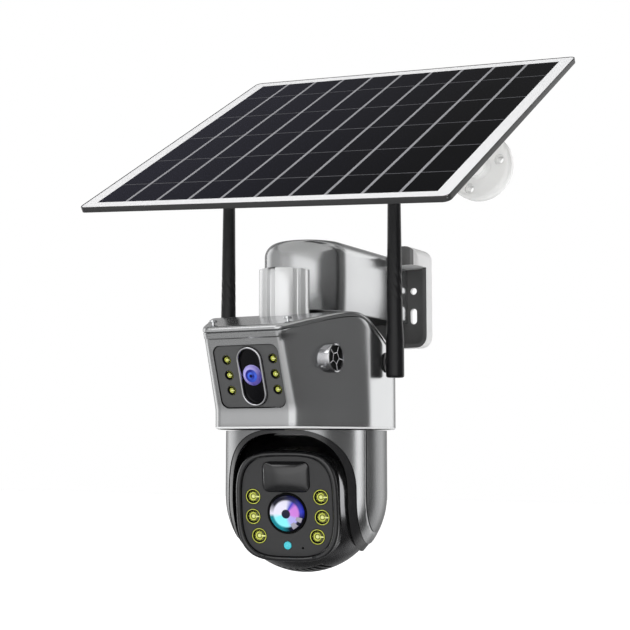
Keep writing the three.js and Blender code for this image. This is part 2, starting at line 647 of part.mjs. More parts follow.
const onFace = (body) => body.transform(new THREE.Matrix4().makeTranslation(0, -FACE.plate, 0)
  .multiply(new THREE.Matrix4().makeRotationX(Math.PI / 2)).toArray());

function facePlate() {
  const plate = prism(faceOutline(FACE.plateW, FACE.plateH), -2, 0);
  const lamps = HEAD_LEDS.flatMap(([x, z]) => [-1, 1].map((side) =>
    rod(HEAD_LED_RADIUS + GAP, -4, 2, 14).translate([side * x, z, 0])));
  const lens = rod(MAIN_LENS.radius + GAP, -4, 2, 24).translate([0, MAIN_LENS.z, 0]);
  const pir = prism(roundedBox(PIR.halfW + GAP, PIR.halfH + GAP, 4, 5, 0, PIR.z), -4, 2);
  const status = rod(STATUS.radius + GAP, -4, 2, 16).translate([STATUS.x, STATUS.z, 0]);
  const mic = rod(MIC.radius, -4, 2, 8).translate([MIC.x, MIC.z, 0]);
  return onFace(cut(plate, ...lamps, lens, pir, status, mic));
}

function pirWindow() {
  const levels = [[-2, 1, 1], [0.3, 1, 1], [1.6, 0.94, 0.9], [2.4, 0.8, 0.7], [2.8, 0.5, 0.4]];
  return onFace(loft(levels.map(([z, kx, ky]) => roundedBox(PIR.halfW * kx, PIR.halfH * ky,
    4 * ky, 4, 0, PIR.z).map(([x, y]) => [x, y, z]))));
}

function mainLens() {
  const r = MAIN_LENS.radius;
  const profile = [[0, -16], [9, -16], [9, -3], [r, -3], [r, 0.3], [r * 0.9, 0.5]];
  const dome = Array.from({ length: 7 }, (_, i) => {
    const angle = Math.PI / 2 * i / 6;
    return [r * 0.86 * Math.cos(angle), 0.5 + 2.4 * Math.sin(angle)];
  });
  dome[6][0] = 0;
  return onFace(turned([...profile, ...dome], 28).translate([0, MAIN_LENS.z, 0]));
}

const headLeds = (side) => onFace(lampStrip(HEAD_LEDS.map(([x, z]) => [side * x, z]),
  HEAD_LED_RADIUS, 4));

function tiltMotor() {
  const { radius, left, right } = TILT_MOTOR;
  return cut(rodX(radius, left, right, 0, TILT_CENTRE, 28),
    rodX(SHAFT + 0.4, left - 2.4, -18, 0, TILT_CENTRE, 12));
}

add(head, 'head_shell', headShell(), DARK);
add(head, 'head_ring', cut(prismFront(faceOutline(FACE.halfW, FACE.halfH), -38.9, -FACE.front),
  prismFront(faceOutline(FACE.plateW + GAP, FACE.plateH + GAP), -30, -60)), DARK);
add(head, 'face_plate', facePlate(), DARK);
add(head, 'pir_window', pirWindow(), GLASS);
add(head, 'main_lens', mainLens(), LENS);
add(head, 'head_leds_left', headLeds(-1), LED);
add(head, 'head_leds_right', headLeds(1), LED);
add(head, 'status_light', onFace(rod(STATUS.radius, -3, 0.2, 16)
  .translate([STATUS.x, STATUS.z, 0])), CYAN);
add(head, 'sensor_board', box(-SENSOR_BOARD.half, SENSOR_BOARD.half, SENSOR_BOARD.y,
  SENSOR_BOARD.y + SENSOR_BOARD.thick, -SENSOR_BOARD.half, SENSOR_BOARD.half), BOARD);
add(head, 'tilt_motor', tiltMotor(), STEEL);
add(group(head, [0, 0, TILT_CENTRE]), 'tilt_pinion', alongX(union(
  prism(gearOutline(PINION_TEETH, rad(-90) + Math.PI / PINION_TEETH), TILT_X - 1.2,
    TILT_X + 2.2), rod(SHAFT, TILT_X, -20, 12))), STEEL);

// ---- Aerials ------------------------------------------------------------------------
function antenna(place) {
  const { baseR, tipR, baseZ, tipZ, pivotZ } = AERIAL;
  const low = baseZ - pivotZ;
  const high = tipZ - pivotZ;
  const whip = turned([[0, low], [baseR - 0.8, low], [baseR, low + 0.8], [baseR, 12],
    [baseR - 0.5, 26], [tipR + 0.3, high * 0.6], [tipR, high - 3], [tipR * 0.7, high - 0.8],
    [0, high]], 20);
  const reach = Math.sign(place.x) * 54.3 - place.x;
  const stub = rodX(4.6, Math.min(0, reach), Math.max(0, reach), 0, 0, 16);
  return union(whip, stub);
}

['left', 'right'].forEach((name) => {
  const { x, y } = AERIAL[name];
  const place = group(camera, [x, PAN_Y + y, HEAD_Z + AERIAL.pivotZ]);
  add(place, `antenna_${name}`, antenna(AERIAL[name]), BLACK);
});

// ---- Solar panel --------------------------------------------------------------------
const panel = group(camera, PANEL.centre);
panel.setRotationFromMatrix(new THREE.Matrix4().makeRotationZ(rad(PANEL.yaw))
  .multiply(new THREE.Matrix4().makeRotationX(rad(PANEL.tilt)))
  .multiply(new THREE.Matrix4().makeRotationY(rad(PANEL.roll))));
panel.updateMatrixWorld(true);
const pivot = new THREE.Vector3(BASE.x, KNUCKLE.y, BASE.z);
const foot = panel.worldToLocal(pivot.clone());

const panelOutline = roundedBox(PANEL.width / 2, PANEL.depth / 2, 4, 4);

function panelFrame() {
  return cut(prism(panelOutline, -PANEL.thick, 0), prism(inset(panelOutline, PANEL.rim), -9, 1));
}

const sheetOutline = inset(panelOutline, PANEL.rim + GAP);

// A plate under the sheet, with a neck down to the knuckle's middle eye.
function panelFoot() {
  const inPanel = union(
    prism(roundedBox(26, 20, 5, 4, foot.x, foot.y), -6.4, -3.2),
    rod(9, foot.z + 2, -6, 20).translate([foot.x, foot.y, 0]),
  ).transform(panel.matrixWorld.toArray());
  const eye = rodX(KNUCKLE.radius, BASE.x - KNUCKLE.half, BASE.x + KNUCKLE.half,
    KNUCKLE.y, BASE.z, 28);
  const clear = cut(rodX(KNUCKLE.radius + 1.4, BASE.x - 20, BASE.x + 20, KNUCKLE.y, BASE.z, 28),
    box(BASE.x - KNUCKLE.half, BASE.x + KNUCKLE.half, -200, 0, 0, 200));
  return cut(union(cut(inPanel, clear), eye),
    rodX(3.2, BASE.x - 30, BASE.x + 30, KNUCKLE.y, BASE.z, 16));
}

add(panel, 'panel_frame', panelFrame(), DARK);
add(panel, 'panel_cells', prism(sheetOutline, -1.4, -0.3), CELLS);
add(panel, 'panel_backsheet', prism(sheetOutline, -2.9, -1.7), WHITE);
add(panel, 'junction_box', prism(roundedBox(24, 14, 3, 3, -14, foot.y), -14, -3.2), BLACK);
add(camera, 'panel_foot', panelFoot(), WHITE);

// ---- Panel bracket ------------------------------------------------------------------
function panelBase() {
  const { radius, thick, boss, bossEnd, holeOut } = BASE;
  const disc = turned([[0, 0], [radius, 0], [radius, thick - 3], [radius - 1, thick - 1],
    [radius - 3.2, thick], [boss, thick], [boss, bossEnd], [0, bossEnd]], 36);
  const holes = [9, 129, 249].map((degrees) => {
    const x = holeOut * Math.cos(rad(degrees));
    const y = holeOut * Math.sin(rad(degrees));
    return union(rod(2.3, -1, 12, 12), rod(3.6, thick - 1.6, 12, 12)).translate([x, y, 0]);
  });
  const body = cut(disc, ...holes, rod(4, 4, 30, 20));
  return body.transform([1, 0, 0, 0, 0, 0, 1, 0, 0, -1, 0, 0, BASE.x, 0, BASE.z, 1]);
}

// Swivel arm: a stub in the base, a round neck and a two-cheeked fork.
function panelArm() {
  const stub = rodY(3.7, -BASE.bossEnd - 1, -6, BASE.x, BASE.z, 20);
  const collar = rodY(8.5, -24, -BASE.bossEnd - GAP, BASE.x, BASE.z, 28);
  const neck = rodY(6, KNUCKLE.y + 14, -23, BASE.x, BASE.z, 24);
  const wide = KNUCKLE.half + GAP + KNUCKLE.cheek;
  const fork = union(rodX(KNUCKLE.radius, BASE.x - wide, BASE.x + wide, KNUCKLE.y, BASE.z, 28),
    box(BASE.x - wide, BASE.x + wide, KNUCKLE.y, KNUCKLE.y + 16, BASE.z - 8, BASE.z + 8));
  const slot = box(BASE.x - KNUCKLE.half - GAP, BASE.x + KNUCKLE.half + GAP,
    KNUCKLE.y - 12, KNUCKLE.y + KNUCKLE.radius + 1.6, BASE.z - 12, BASE.z + 12);
  return cut(union(stub, collar, neck, cut(fork, slot)),
    rodX(3.2, BASE.x - 30, BASE.x + 30, KNUCKLE.y, BASE.z, 16));
}

// Clamp knob and its bolt through the knuckle.
function clampKnob() {
  const start = BASE.x + KNUCKLE.half + KNUCKLE.cheek + 2 * GAP;
  const lobes = Array.from({ length: 6 }, (_, i) => {
    const angle = rad(60 * i);
    return rodX(3.2, start - 1, start + 12, KNUCKLE.y + 9.4 * Math.cos(angle),
      BASE.z + 9.4 * Math.sin(angle), 12);
  });
  const grip = cut(rodX(9, start + 2, start + 10, KNUCKLE.y, BASE.z, 30), ...lobes);
  return union(grip, rodX(5, start, start + 3, KNUCKLE.y, BASE.z, 20),
    rodX(2.7, BASE.x - 9.5, start + 3, KNUCKLE.y, BASE.z, 16));
}

add(camera, 'panel_base', panelBase(), WHITE);
add(camera, 'panel_arm', panelArm(), WHITE);
add(camera, 'clamp_knob', clampKnob(), BLACK);

export default camera;
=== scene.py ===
"""Solar-powered security camera: the looks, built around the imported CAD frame.

Lengths are in millimetres and are scaled to metres when a mesh is made. The wall is the
plane Y = 0 and the front faces -Y. Each piece rides on the CAD body it belongs to.
"""

import json
import math

import bmesh
import bpy
from mathutils import Matrix, Vector

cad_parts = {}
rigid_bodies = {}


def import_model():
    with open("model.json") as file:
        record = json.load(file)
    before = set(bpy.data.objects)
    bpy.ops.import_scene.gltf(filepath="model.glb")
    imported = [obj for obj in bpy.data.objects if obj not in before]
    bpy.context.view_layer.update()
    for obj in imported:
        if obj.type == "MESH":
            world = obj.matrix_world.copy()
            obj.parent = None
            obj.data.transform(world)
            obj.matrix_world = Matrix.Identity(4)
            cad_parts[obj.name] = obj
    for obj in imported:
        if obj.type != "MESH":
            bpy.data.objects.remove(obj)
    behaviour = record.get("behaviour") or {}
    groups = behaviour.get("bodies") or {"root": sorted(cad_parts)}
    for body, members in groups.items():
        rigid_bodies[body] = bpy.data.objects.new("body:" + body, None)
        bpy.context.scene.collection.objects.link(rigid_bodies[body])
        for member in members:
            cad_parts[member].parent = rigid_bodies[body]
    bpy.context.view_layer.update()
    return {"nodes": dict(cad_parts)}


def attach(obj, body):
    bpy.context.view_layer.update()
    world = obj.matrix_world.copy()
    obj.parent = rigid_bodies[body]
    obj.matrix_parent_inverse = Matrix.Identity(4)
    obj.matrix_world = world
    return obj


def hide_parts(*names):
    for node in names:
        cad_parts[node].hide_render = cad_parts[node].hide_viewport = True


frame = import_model()

# ---- Driving dimensions, the same as the CAD's ----
MM = 0.001
WALL = 2.4
PAN_POINT = (0, -95, -129.5)
HOUSING_YAW = 3
YOKE_YAW = 13
HEAD_TILT = 7.5

BOTTOM, LEAN_Z, TOP_Z = 40, 51, 98            # upper housing levels above the ball centre
FRONT_Y, FRONT_TOP_Y, NECK_Y, REAR_Y = -66, -82.5, -13, 14
SIDE_X, REAR_REACH = 52, 40
ROOF_LINE = [(-100, 96.4), (-82.5, 98.5), (-46, 107.8), (-33, 110), (-22, 109),
             (6, 96), (64, 66.5)]
ROOF_THICK = 3
LEAN = math.atan2(FRONT_Y - FRONT_TOP_Y, TOP_Z - LEAN_Z)

WINDOW_W, WINDOW_H, WINDOW_R, WINDOW_UP = 21.7, 19.2, 5, 20
STADIUM_X, STADIUM_W, STADIUM_H = 1.9, 8.5, 18.2
FIXED_LED_R, FIXED_LED_SPREAD, FIXED_LED_PITCH = 2.6, 15.35, 9.3

YOKE_R, YOKE_WALL, YOKE_TOP, DECK = 50.4, 2.3, 39.3, 36.6
OPEN_HALF, OPEN_TOP, TRIM_HALF, TRIM_TOP, TRIM_DEEP = 40.6, 40, 36.4, 37.5, 3.6
INNER_HALF, COVER_X, ARCH_POWER = 36.5, 44.4, 2.6
BALL_R, BALL_HALF, BARREL_R, SLOT_Y = 47.8, 35.9, 35.8, 19

FACE_W, FACE_H, FACE_Z, FACE_POWER = 32, 33, -0.8, 3.4
PLATE_W, PLATE_H, FACE_FRONT, PLATE_Y = 28.4, 30, 41, 39.4
LENS_R, LENS_Z = 12.1, -4.9
HEAD_LEDS = [(21.2, 4.9), (21.6, -7.1), (18.2, -18.7)]
HEAD_LED_R = 4.5
PIR_W, PIR_H, PIR_Z = 14.5, 8.9, 16.9

ARM_HALF, ARM_NOSE_Y, ARM_BACK_Y, ARM_BOTTOM, ARM_TOP, ARM_ROUND = 28, -92.5, -3.1, -16.5, 28.5, 9
NECK_X, NECK_AT, NECK_R, NECK_TOP, NECK_FOOT = 3, -127, 15.6, 7.5, -22.5

AERIAL_LEFT, AERIAL_RIGHT = (-62, 3.6), (59, 6.6)
AERIAL_PIVOT, AERIAL_BASE, AERIAL_TIP, STUB_END = 81, 71.5, 195, 54.3
SPEAKER_Y, SPEAKER_Z, SPEAKER_R, SPEAKER_END, SPEAKER_YAW = -48.5, 81, 8.6, 45, -7

PANEL_W, PANEL_D, PANEL_THICK, PANEL_RIM = 240, 223.8, 3.4, 0.7
PANEL_AT = (31.8, -114.3, 94.8)
BASE_X, BASE_Z, BASE_R, BASE_THICK, BOSS_R, BOSS_END = 81.3, 86.9, 23, 8, 9, 15

# ---- Frames of the sub-assemblies ----
def turn(degrees, axis):
    return Matrix.Rotation(math.radians(degrees), 4, axis)


def shift(x, y, z):
    return Matrix.Translation((x, y, z))


WORLD = Matrix.Identity(4)
AT_HOUSING = shift(*PAN_POINT) @ turn(HOUSING_YAW, "Z")
AT_YOKE = shift(*PAN_POINT) @ turn(YOKE_YAW, "Z")
AT_HEAD = AT_YOKE @ turn(HEAD_TILT, "X")
AT_WINDOW = (AT_HOUSING @ shift(0, FRONT_Y, LEAN_Z) @ turn(90 + math.degrees(LEAN), "X")
             @ shift(0, WINDOW_UP, 0))
AT_FACE = AT_HEAD @ shift(0, -PLATE_Y, 0) @ turn(90, "X")
AT_PANEL = shift(*PANEL_AT) @ turn(-2, "Z") @ turn(33, "X") @ turn(4.6, "Y")
AT_BASE = shift(BASE_X, 0, BASE_Z) @ turn(90, "X")


# ---- Mesh building ----
def make_mesh(name, points, faces, place=WORLD, sharp=35):
    """An object from points in millimetres in the frame that place gives."""
    mesh = bpy.data.meshes.new(name)
    mesh.from_pydata([tuple((place @ Vector(p)) * MM) for p in points], [], faces)
    tidy_mesh(mesh, sharp)
    thing = bpy.data.objects.new(name, mesh)
    bpy.context.scene.collection.objects.link(thing)
    return thing


def tidy_mesh(mesh, sharp):
    bm = bmesh.new()
    bm.from_mesh(mesh)
    bmesh.ops.remove_doubles(bm, verts=bm.verts, dist=1e-7)
    bmesh.ops.recalc_face_normals(bm, faces=bm.faces)
    bm.to_mesh(mesh)
    bm.free()
    for face in mesh.polygons:
        face.use_smooth = True
    mesh.set_sharp_from_angle(angle=math.radians(sharp))


def loft(name, rings, place=WORLD, sharp=35, caps=(True, True), wrap=False):
    """A closed skin through rings of equally many points."""
    count = len(rings[0])
    points = [p for ring in rings for p in ring]
    faces = []
    for level in range(len(rings) - (0 if wrap else 1)):
        base, over = level * count, (level + 1) % len(rings) * count
        for i in range(count):
            j = (i + 1) % count
            faces.append((base + i, base + j, over + j, over + i))
    if caps[0] and not wrap:
        faces.append(tuple(range(count))[::-1])
    if caps[1] and not wrap:
        last = (len(rings) - 1) * count
        faces.append(tuple(range(last, last + count)))
    return make_mesh(name, points, faces, place, sharp)


def turned(name, profile, place=WORLD, segments=64):
    """A body turned about the local Z axis; the profile's points are (radius, z)."""
    rings = [[(r * math.cos(a), r * math.sin(a), z) for a in around(segments)]
             for r, z in profile]
    return loft(name, rings, place)


def around(count, start=0.0, span=2 * math.pi):
    return [start + span * i / count for i in range(count)]


def prism(name, outline, z0, z1, place=WORLD, round_edge=0.0, sharp=35):
    """An outline pulled along local Z, with its two rims rounded if round_edge is given."""
    if round_edge:
        levels = [(z0 + round_edge * (1 - math.cos(math.pi / 2 * k / 3)),
                   round_edge * (1 - math.sin(math.pi / 2 * k / 3))) for k in range(4)]
        levels += [(z0 + z1 - z, pulled) for z, pulled in reversed(levels)]
    else:
        levels = [(z0, 0), (z1, 0)]
    rings = [[(x, y, z) for x, y in inset(outline, pulled)] for z, pulled in levels]
    return loft(name, rings, place, sharp)


def inset(outline, distance):
    """Each point of a convex counterclockwise outline moved inward by one distance."""
    count = len(outline)
    moved = []
    for i, (x, y) in enumerate(outline):
        ax, ay = outline[i - 1]
        bx, by = outline[(i + 1) % count]
        length = math.hypot(bx - ax, by - ay) or 1
        moved.append((x - (by - ay) / length * distance, y + (bx - ax) / length * distance))
    return moved


def rounded_box(half_w, half_h, radius, steps=8, cx=0.0, cy=0.0):
    points = []
    for sx, sy, start in ((1, 1, 0), (-1, 1, 90), (-1, -1, 180), (1, -1, 270)):
        for i in range(steps + 1):
            a = math.radians(start + 90 * i / steps)
            points.append((cx + sx * (half_w - radius) + radius * math.cos(a),
                           cy + sy * (half_h - radius) + radius * math.sin(a)))
    return points


def boolean(thing, cutters, operation="DIFFERENCE", sharp=35):
    """Cuts thing with each cutter, or keeps what they share, and drops the cutters."""
    for cutter in cutters:
        modifier = thing.modifiers.new("cut", "BOOLEAN")
        modifier.operation = operation
        modifier.solver = "EXACT"
        modifier.object = cutter
    graph = bpy.context.evaluated_depsgraph_get()
    result = bpy.data.meshes.new_from_object(thing.evaluated_get(graph))
    thing.modifiers.clear()
    thing.data = result
    tidy_mesh(result, sharp)
    for cutter in cutters:
        bpy.data.objects.remove(cutter, do_unlink=True)
    return thing


def bevel(thing, width, segments=3):
    """Rounds the sharp edges; flat triangles are first joined into whole faces."""
    flat = thing.modifiers.new("flat", "DECIMATE")
    flat.decimate_type = "DISSOLVE"
    flat.angle_limit = math.radians(0.5)
    flat.delimit = set()
    bevel_cut(thing, width, segments, 40)
    even = thing.modifiers.new("even", "WEIGHTED_NORMAL")
    even.keep_sharp = True
    return thing


def bevel_cut(thing, width, segments=3, angle=50):
    """Rounds only the sharp cut edges of a fine mesh."""
    edge = thing.modifiers.new("edge", "BEVEL")
    edge.width = width * MM
    edge.segments = segments
    edge.limit_method = "ANGLE"
    edge.angle_limit = math.radians(angle)
    edge.harden_normals = False


def box_between(name, low, high, place=WORLD):
    xs, ys, zs = zip(low, high)
    outline = [(xs[0], ys[0]), (xs[1], ys[0]), (xs[1], ys[1]), (xs[0], ys[1])]
    return prism(name, outline, zs[0], zs[1], place)


def join(name, things):
    """Several objects as one piece."""
    for thing in things:
        thing.select_set(False)
    with bpy.context.temp_override(active_object=things[0], object=things[0],
                                   selected_editable_objects=things,
                                   selected_objects=things):
        bpy.ops.object.join()
    things[0].name = name
    return things[0]


def dress(thing, material):
    thing.data.materials.clear()
    thing.data.materials.append(material)
    return thing


def settle(thing, material, body, slot, *nodes):
    """The piece gets its material, its body and the CAD nodes it stands for; the slot is not used.
    """
    if material:
        dress(thing, material)
    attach(thing, body)
    if nodes:
        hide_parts(*nodes)
    return thing


# ---- Materials ----
def new_material(name):
    """A material, its node tree and its shader."""
    material = bpy.data.materials.new(name)
    material.use_nodes = True
    tree = material.node_tree
    return material, tree, tree.nodes["Principled BSDF"]


def add_node(tree, kind, inputs=None, **settings):
    """A shader node: each input is given a value, or the socket that feeds it."""
    node = tree.nodes.new("ShaderNode" + kind)
    for name, value in settings.items():
        setattr(node, name, value)
    feed(tree, node, inputs or {})
    return node


def feed(tree, node, inputs):
    for name, value in inputs.items():
        if isinstance(value, bpy.types.NodeSocket):
            tree.links.new(value, node.inputs[name])
        else:
            node.inputs[name].default_value = value


def mix_colors(tree, factor, first, second, blend_type="MIX"):
    mix = add_node(tree, "Mix", data_type="RGBA", blend_type=blend_type)
    feed(tree, mix, {"Factor": factor, "A": first, "B": second})
    return mix.outputs["Result"]


def map_range(tree, value, low, high, kind="LINEAR"):
    node = add_node(tree, "MapRange", {"Value": value, "From Min": low, "From Max": high},
                    interpolation_type=kind)
    return node.outputs["Result"]


def surface(name, color, rough, metallic=0.0, coat=0.0, mottle=0.06, mottle_scale=60.0,
            grain=0.0, grain_scale=900.0, specular=0.5):
    """Moulded or painted finish: mottled colour, uneven gloss and a fine bumpy grain."""
    material, tree, shader = new_material(name)
    source = add_node(tree, "TexCoord").outputs["Object"]
    blotch = add_node(tree, "TexNoise",
                      {"Vector": source, "Scale": mottle_scale, "Detail": 4.0}).outputs["Fac"]
    dark = [c * (1 - mottle) for c in color] + [1]
    light = [min(1, c * (1 + mottle)) for c in color] + [1]
    gloss = add_node(tree, "MapRange", {"Value": blotch, "To Min": rough * 0.85,
                                        "To Max": min(1, rough * 1.2)})
    feed(tree, shader, {"Metallic": metallic, "Coat Weight": coat,
                        "Coat Roughness": 0.1, "Specular IOR Level": specular,
                        "Base Color": mix_colors(tree, blotch, dark, light),
                        "Roughness": gloss.outputs["Result"]})
    if grain:
        fine = add_node(tree, "TexNoise", {"Vector": source, "Scale": grain_scale,
                                           "Detail": 2.0})
        bump = add_node(tree, "Bump", {"Strength": grain, "Distance": 0.0001,
                                       "Height": fine.outputs["Fac"]})
        feed(tree, shader, {"Normal": bump.outputs["Normal"]})
    return material


def metal_paint(name, color, rough):
    """Glossy metallic paint with a very fine grain."""
    return surface(name, color, rough, metallic=0.95, mottle=0.03, grain=0.03,
                   grain_scale=1400)


SILVER = metal_paint("silver_paint", (0.48, 0.485, 0.49), 0.2)
# A darker copy of the silver paint for the yoke: painted shade under the housing.
YOKE_SILVER_SHADED = metal_paint("yoke_paint_painted_shade", (0.33, 0.333, 0.337), 0.22)
# A still darker copy of the silver paint for the yoke's side covers: painted shade.
COVER_SILVER_SHADED = metal_paint("cover_paint_painted_shade", (0.2, 0.202, 0.205), 0.25)
NECK_SILVER = surface("neck_paint", (0.74, 0.745, 0.75), 0.22, metallic=0.45,
                      mottle=0.02, grain=0.03)
RIM_LIGHT = surface("rim_paint", (0.78, 0.785, 0.79), 0.35, metallic=0.1, mottle=0.02)
CHROME = surface("bright_trim", (0.62, 0.62, 0.64), 0.16, metallic=1.0, mottle=0.02)
BALL_DARK = surface("ball_gloss", (0.16, 0.16, 0.165), 0.22, metallic=0.95, mottle=0.04,
                    grain=0.02)
DARK_SHELL = surface("dark_gloss", (0.013, 0.013, 0.014), 0.24, coat=0.25, mottle=0.06,
                     grain=0.03)
FACE_GREY = surface("face_grey", (0.036, 0.036, 0.037), 0.45, mottle=0.05, grain=0.1,
                    specular=0.3)
WINDOW_GREY = surface("window_grey", (0.075, 0.076, 0.077), 0.4, mottle=0.05, grain=0.08,
                      specular=0.3)
BLACK = surface("satin_black", (0.008, 0.008, 0.009), 0.34, mottle=0.15, grain=0.1,
                grain_scale=700, specular=0.3)
# Near-black for black parts, also used as painted shade in the ball's slots and as the painted
# shadow in the lamp seats.
BLACK_AND_PAINTED_SHADE = surface("black_and_painted_shade", (0.002, 0.002, 0.002), 0.6, mottle=0.1, specular=0.1)
GLASS_BLACK = surface("black_window", (0.003, 0.003, 0.004), 0.08, mottle=0.1, specular=0.15)
PIR_GLASS = surface("motion_window", (0.012, 0.012, 0.013), 0.14, mottle=0.1, specular=0.75)
# Painted reflection: pale patches on the main lens that stand in for reflected softboxes.
LENS_PAINTED_GLINT = surface("lens_bar", (0.36, 0.34, 0.42), 0.2, coat=0.3, mottle=0.05)
WHITE = surface("gloss_white", (0.86, 0.86, 0.85), 0.22, coat=0.4, mottle=0.015, grain=0.03)
RUBBER = surface("rubber", (0.02, 0.02, 0.02), 0.75, mottle=0.15, grain=0.3)
STEEL = surface("steel", (0.62, 0.63, 0.64), 0.25, metallic=1.0, mottle=0.05, grain=0.05)
BOARD = surface("board_green", (0.02, 0.14, 0.05), 0.4, mottle=0.2, mottle_scale=300)
NYLON = surface("nylon", (0.75, 0.73, 0.66), 0.5, mottle=0.04)
CELL_WRAP = surface("cell_wrap", (0.04, 0.16, 0.38), 0.4, mottle=0.08)
CYAN = surface("cyan_light", (0.05, 0.58, 0.68), 0.35, coat=0.3, mottle=0.04)
LED_YELLOW = surface("led_yellow", (0.60, 0.64, 0.09), 0.2, coat=0.3, mottle=0.3,
                     mottle_scale=900)
LED_PALE = surface("led_pale", (0.80, 0.83, 0.30), 0.25, coat=0.3, mottle=0.15,
                   mottle_scale=900)
# Painted shade in the lamp cups' grooves, wells and side wedges.
LED_PAINTED_SHADE = surface("led_painted_shade", (0.07, 0.075, 0.008), 0.3, mottle=0.2)
PANEL_EDGE = surface("panel_edge", (0.03, 0.03, 0.031), 0.45, mottle=0.08, grain=0.08)
CELL_BORDER = surface("cell_border", (0.93, 0.93, 0.94), 0.3, mottle=0.02, specular=0.2)
BUSBAR = surface("busbar", (0.34, 0.34, 0.36), 0.3, mottle=0.1, mottle_scale=200,
                 specular=0.2)
FINGER = surface("cell_gap", (0.085, 0.085, 0.095), 0.3, mottle=0.1, mottle_scale=200,
                 specular=0.15)


def cell_material():
    """Dark silicon under glass: a blue-violet cast that fades to black across the panel."""
    material = surface("solar_cell", (0.004, 0.004, 0.009), 0.2, mottle=0.35,
                       mottle_scale=25, specular=0.06)
    tree = material.node_tree
    place = add_node(tree, "SeparateXYZ",
                     {"Vector": add_node(tree, "TexCoord").outputs["Object"]})
    across = map_range(tree, place.outputs["X"], (PANEL_AT[0] - PANEL_W / 2) * MM,
                       (PANEL_AT[0] + PANEL_W / 3) * MM)
    color = mix_colors(tree, across, (0.014, 0.014, 0.024, 1), (0.001, 0.001, 0.002, 1))
    feed(tree, tree.nodes["Principled BSDF"], {"Base Color": color})
    return material


def lens_material(name, place, radius, colors, hub, hub_color):
    """Coated glass: colours by direction round the lens axis, partly the coating's own tint and
    partly painted reflections, and a dark pupil.
    """
    material, tree, shader = new_material(name)
    spot, spin, _ = place.decompose()
    local = add_node(tree, "Mapping", {
        "Vector": add_node(tree, "TexCoord").outputs["Object"],
        "Location": tuple(v * MM for v in spot), "Rotation": tuple(spin.to_euler("XYZ")),
        "Scale": (radius * MM,) * 3}, vector_type="TEXTURE")
    split = add_node(tree, "SeparateXYZ", {"Vector": local.outputs["Vector"]})
    x, y = split.outputs["X"], split.outputs["Y"]
    angle = add_node(tree, "Math", {0: y, 1: x}, operation="ARCTAN2")
    share = map_range(tree, angle.outputs["Value"], -math.pi, math.pi)
    flat = add_node(tree, "CombineXYZ", {"X": x, "Y": y})
    reach = add_node(tree, "VectorMath", {0: flat.outputs["Vector"]},
                     operation="LENGTH").outputs["Value"]
    color = None
    for low, high, stops in colors:
        ring = color_ramp(tree, share, stops)
        color = ring_mix(tree, reach, low, high, color, ring) if color else ring
    pupil = add_node(tree, "RGB")
    pupil.outputs[0].default_value = hub_color + (1,)
    color = ring_mix(tree, reach, hub - 0.02, hub + 0.02, color, pupil.outputs[0])
    feed(tree, shader, {"Roughness": 0.1, "Specular IOR Level": 0.25, "Base Color": color})
    return material


def color_ramp(tree, value, stops):
    """Colours along a value that runs from 0 to 1."""
    node = add_node(tree, "ValToRGB", {"Fac": value})
    elements = node.color_ramp.elements
    while len(elements) < len(stops):
        elements.new(0.5)
    for element, (at, color) in zip(elements, stops):
        element.position = at
        element.color = color + (1,)
    return node.outputs["Color"]


def ring_mix(tree, reach, low, high, outside, inside):
    """The inside colour up to low, the outside colour beyond high."""
    step = map_range(tree, reach, low, high, "SMOOTHSTEP")
    return mix_colors(tree, step, inside, outside)


def plate_shaded_material():
    """The wall plate: pale sides and a darker front, told apart by the surface normal; the darker
    front is painted shade.
    """
    material = surface("plate_painted_shade_front", (0.6, 0.6, 0.6), 0.4, metallic=0.2, mottle=0.03,
                       grain=0.12)
    tree = material.node_tree
    normal = add_node(tree, "SeparateXYZ",
                      {"Vector": add_node(tree, "NewGeometry").outputs["Normal"]})
    # Painted shade: faces that look forward get the darker tone.
    front = map_range(tree, normal.outputs["Y"], -0.6, -0.85)
    color = mix_colors(tree, front, (0.80, 0.80, 0.80, 1), (0.115, 0.115, 0.115, 1))
    feed(tree, tree.nodes["Principled BSDF"], {"Base Color": color})
    return material


# ---- Upper housing ----
def bezier(points, t):
    while len(points) > 1:
        points = [tuple(a + (b - a) * t for a, b in zip(p, q))
                  for p, q in zip(points, points[1:])]
    return points[0]


def half_plan():
    """Right half of the plan at the rim: flat nose, cheek, flat side, round back."""
    n = 16
    corner = (34.3, FRONT_Y + 13.8)
    run = [(22 * i / 6, FRONT_Y) for i in range(6)]
    run += [bezier([(22, FRONT_Y), (28, FRONT_Y), corner], i / n) for i in range(n)]
    run += [bezier([corner, (38.8, FRONT_Y + 23.6), (SIDE_X, FRONT_Y + 37),
                    (SIDE_X, NECK_Y)], i / (2 * n)) for i in range(2 * n)]
    run += [(SIDE_X, NECK_Y + (REAR_Y - NECK_Y) * i / 4) for i in range(4)]
    run += [(SIDE_X * math.cos(a), REAR_Y + REAR_REACH * math.sin(a))
            for a in around(28, span=math.pi / 2)]
    return run + [(0, REAR_Y + REAR_REACH)]


PLAN = half_plan()
PLAN = PLAN + [(-x, y) for x, y in reversed(PLAN[1:-1])]


def stretched(y, z):
    """The nose leans forward above the lean line."""
    reach = max(0, z - LEAN_Z) / (TOP_Z - LEAN_Z)
    stretch = reach * ((FRONT_TOP_Y - NECK_Y) / (FRONT_Y - NECK_Y) - 1)
    return NECK_Y + (y - NECK_Y) * (1 + stretch) if y < NECK_Y else y


def roof_height(y):
    """Smooth roof line: the corners of ROOF_LINE are eased over a few millimetres."""
    total, reach, steps = 0, 7, 8
    for k in range(-steps, steps + 1):
        total += roof_corner(y + reach * k / steps)
    return total / (2 * steps + 1)


def roof_corner(y):
    for (y0, z0), (y1, z1) in zip(ROOF_LINE, ROOF_LINE[1:]):
        if y <= y1:
            return z0 + (z1 - z0) * (y - y0) / (y1 - y0)
    return ROOF_LINE[-1][1]


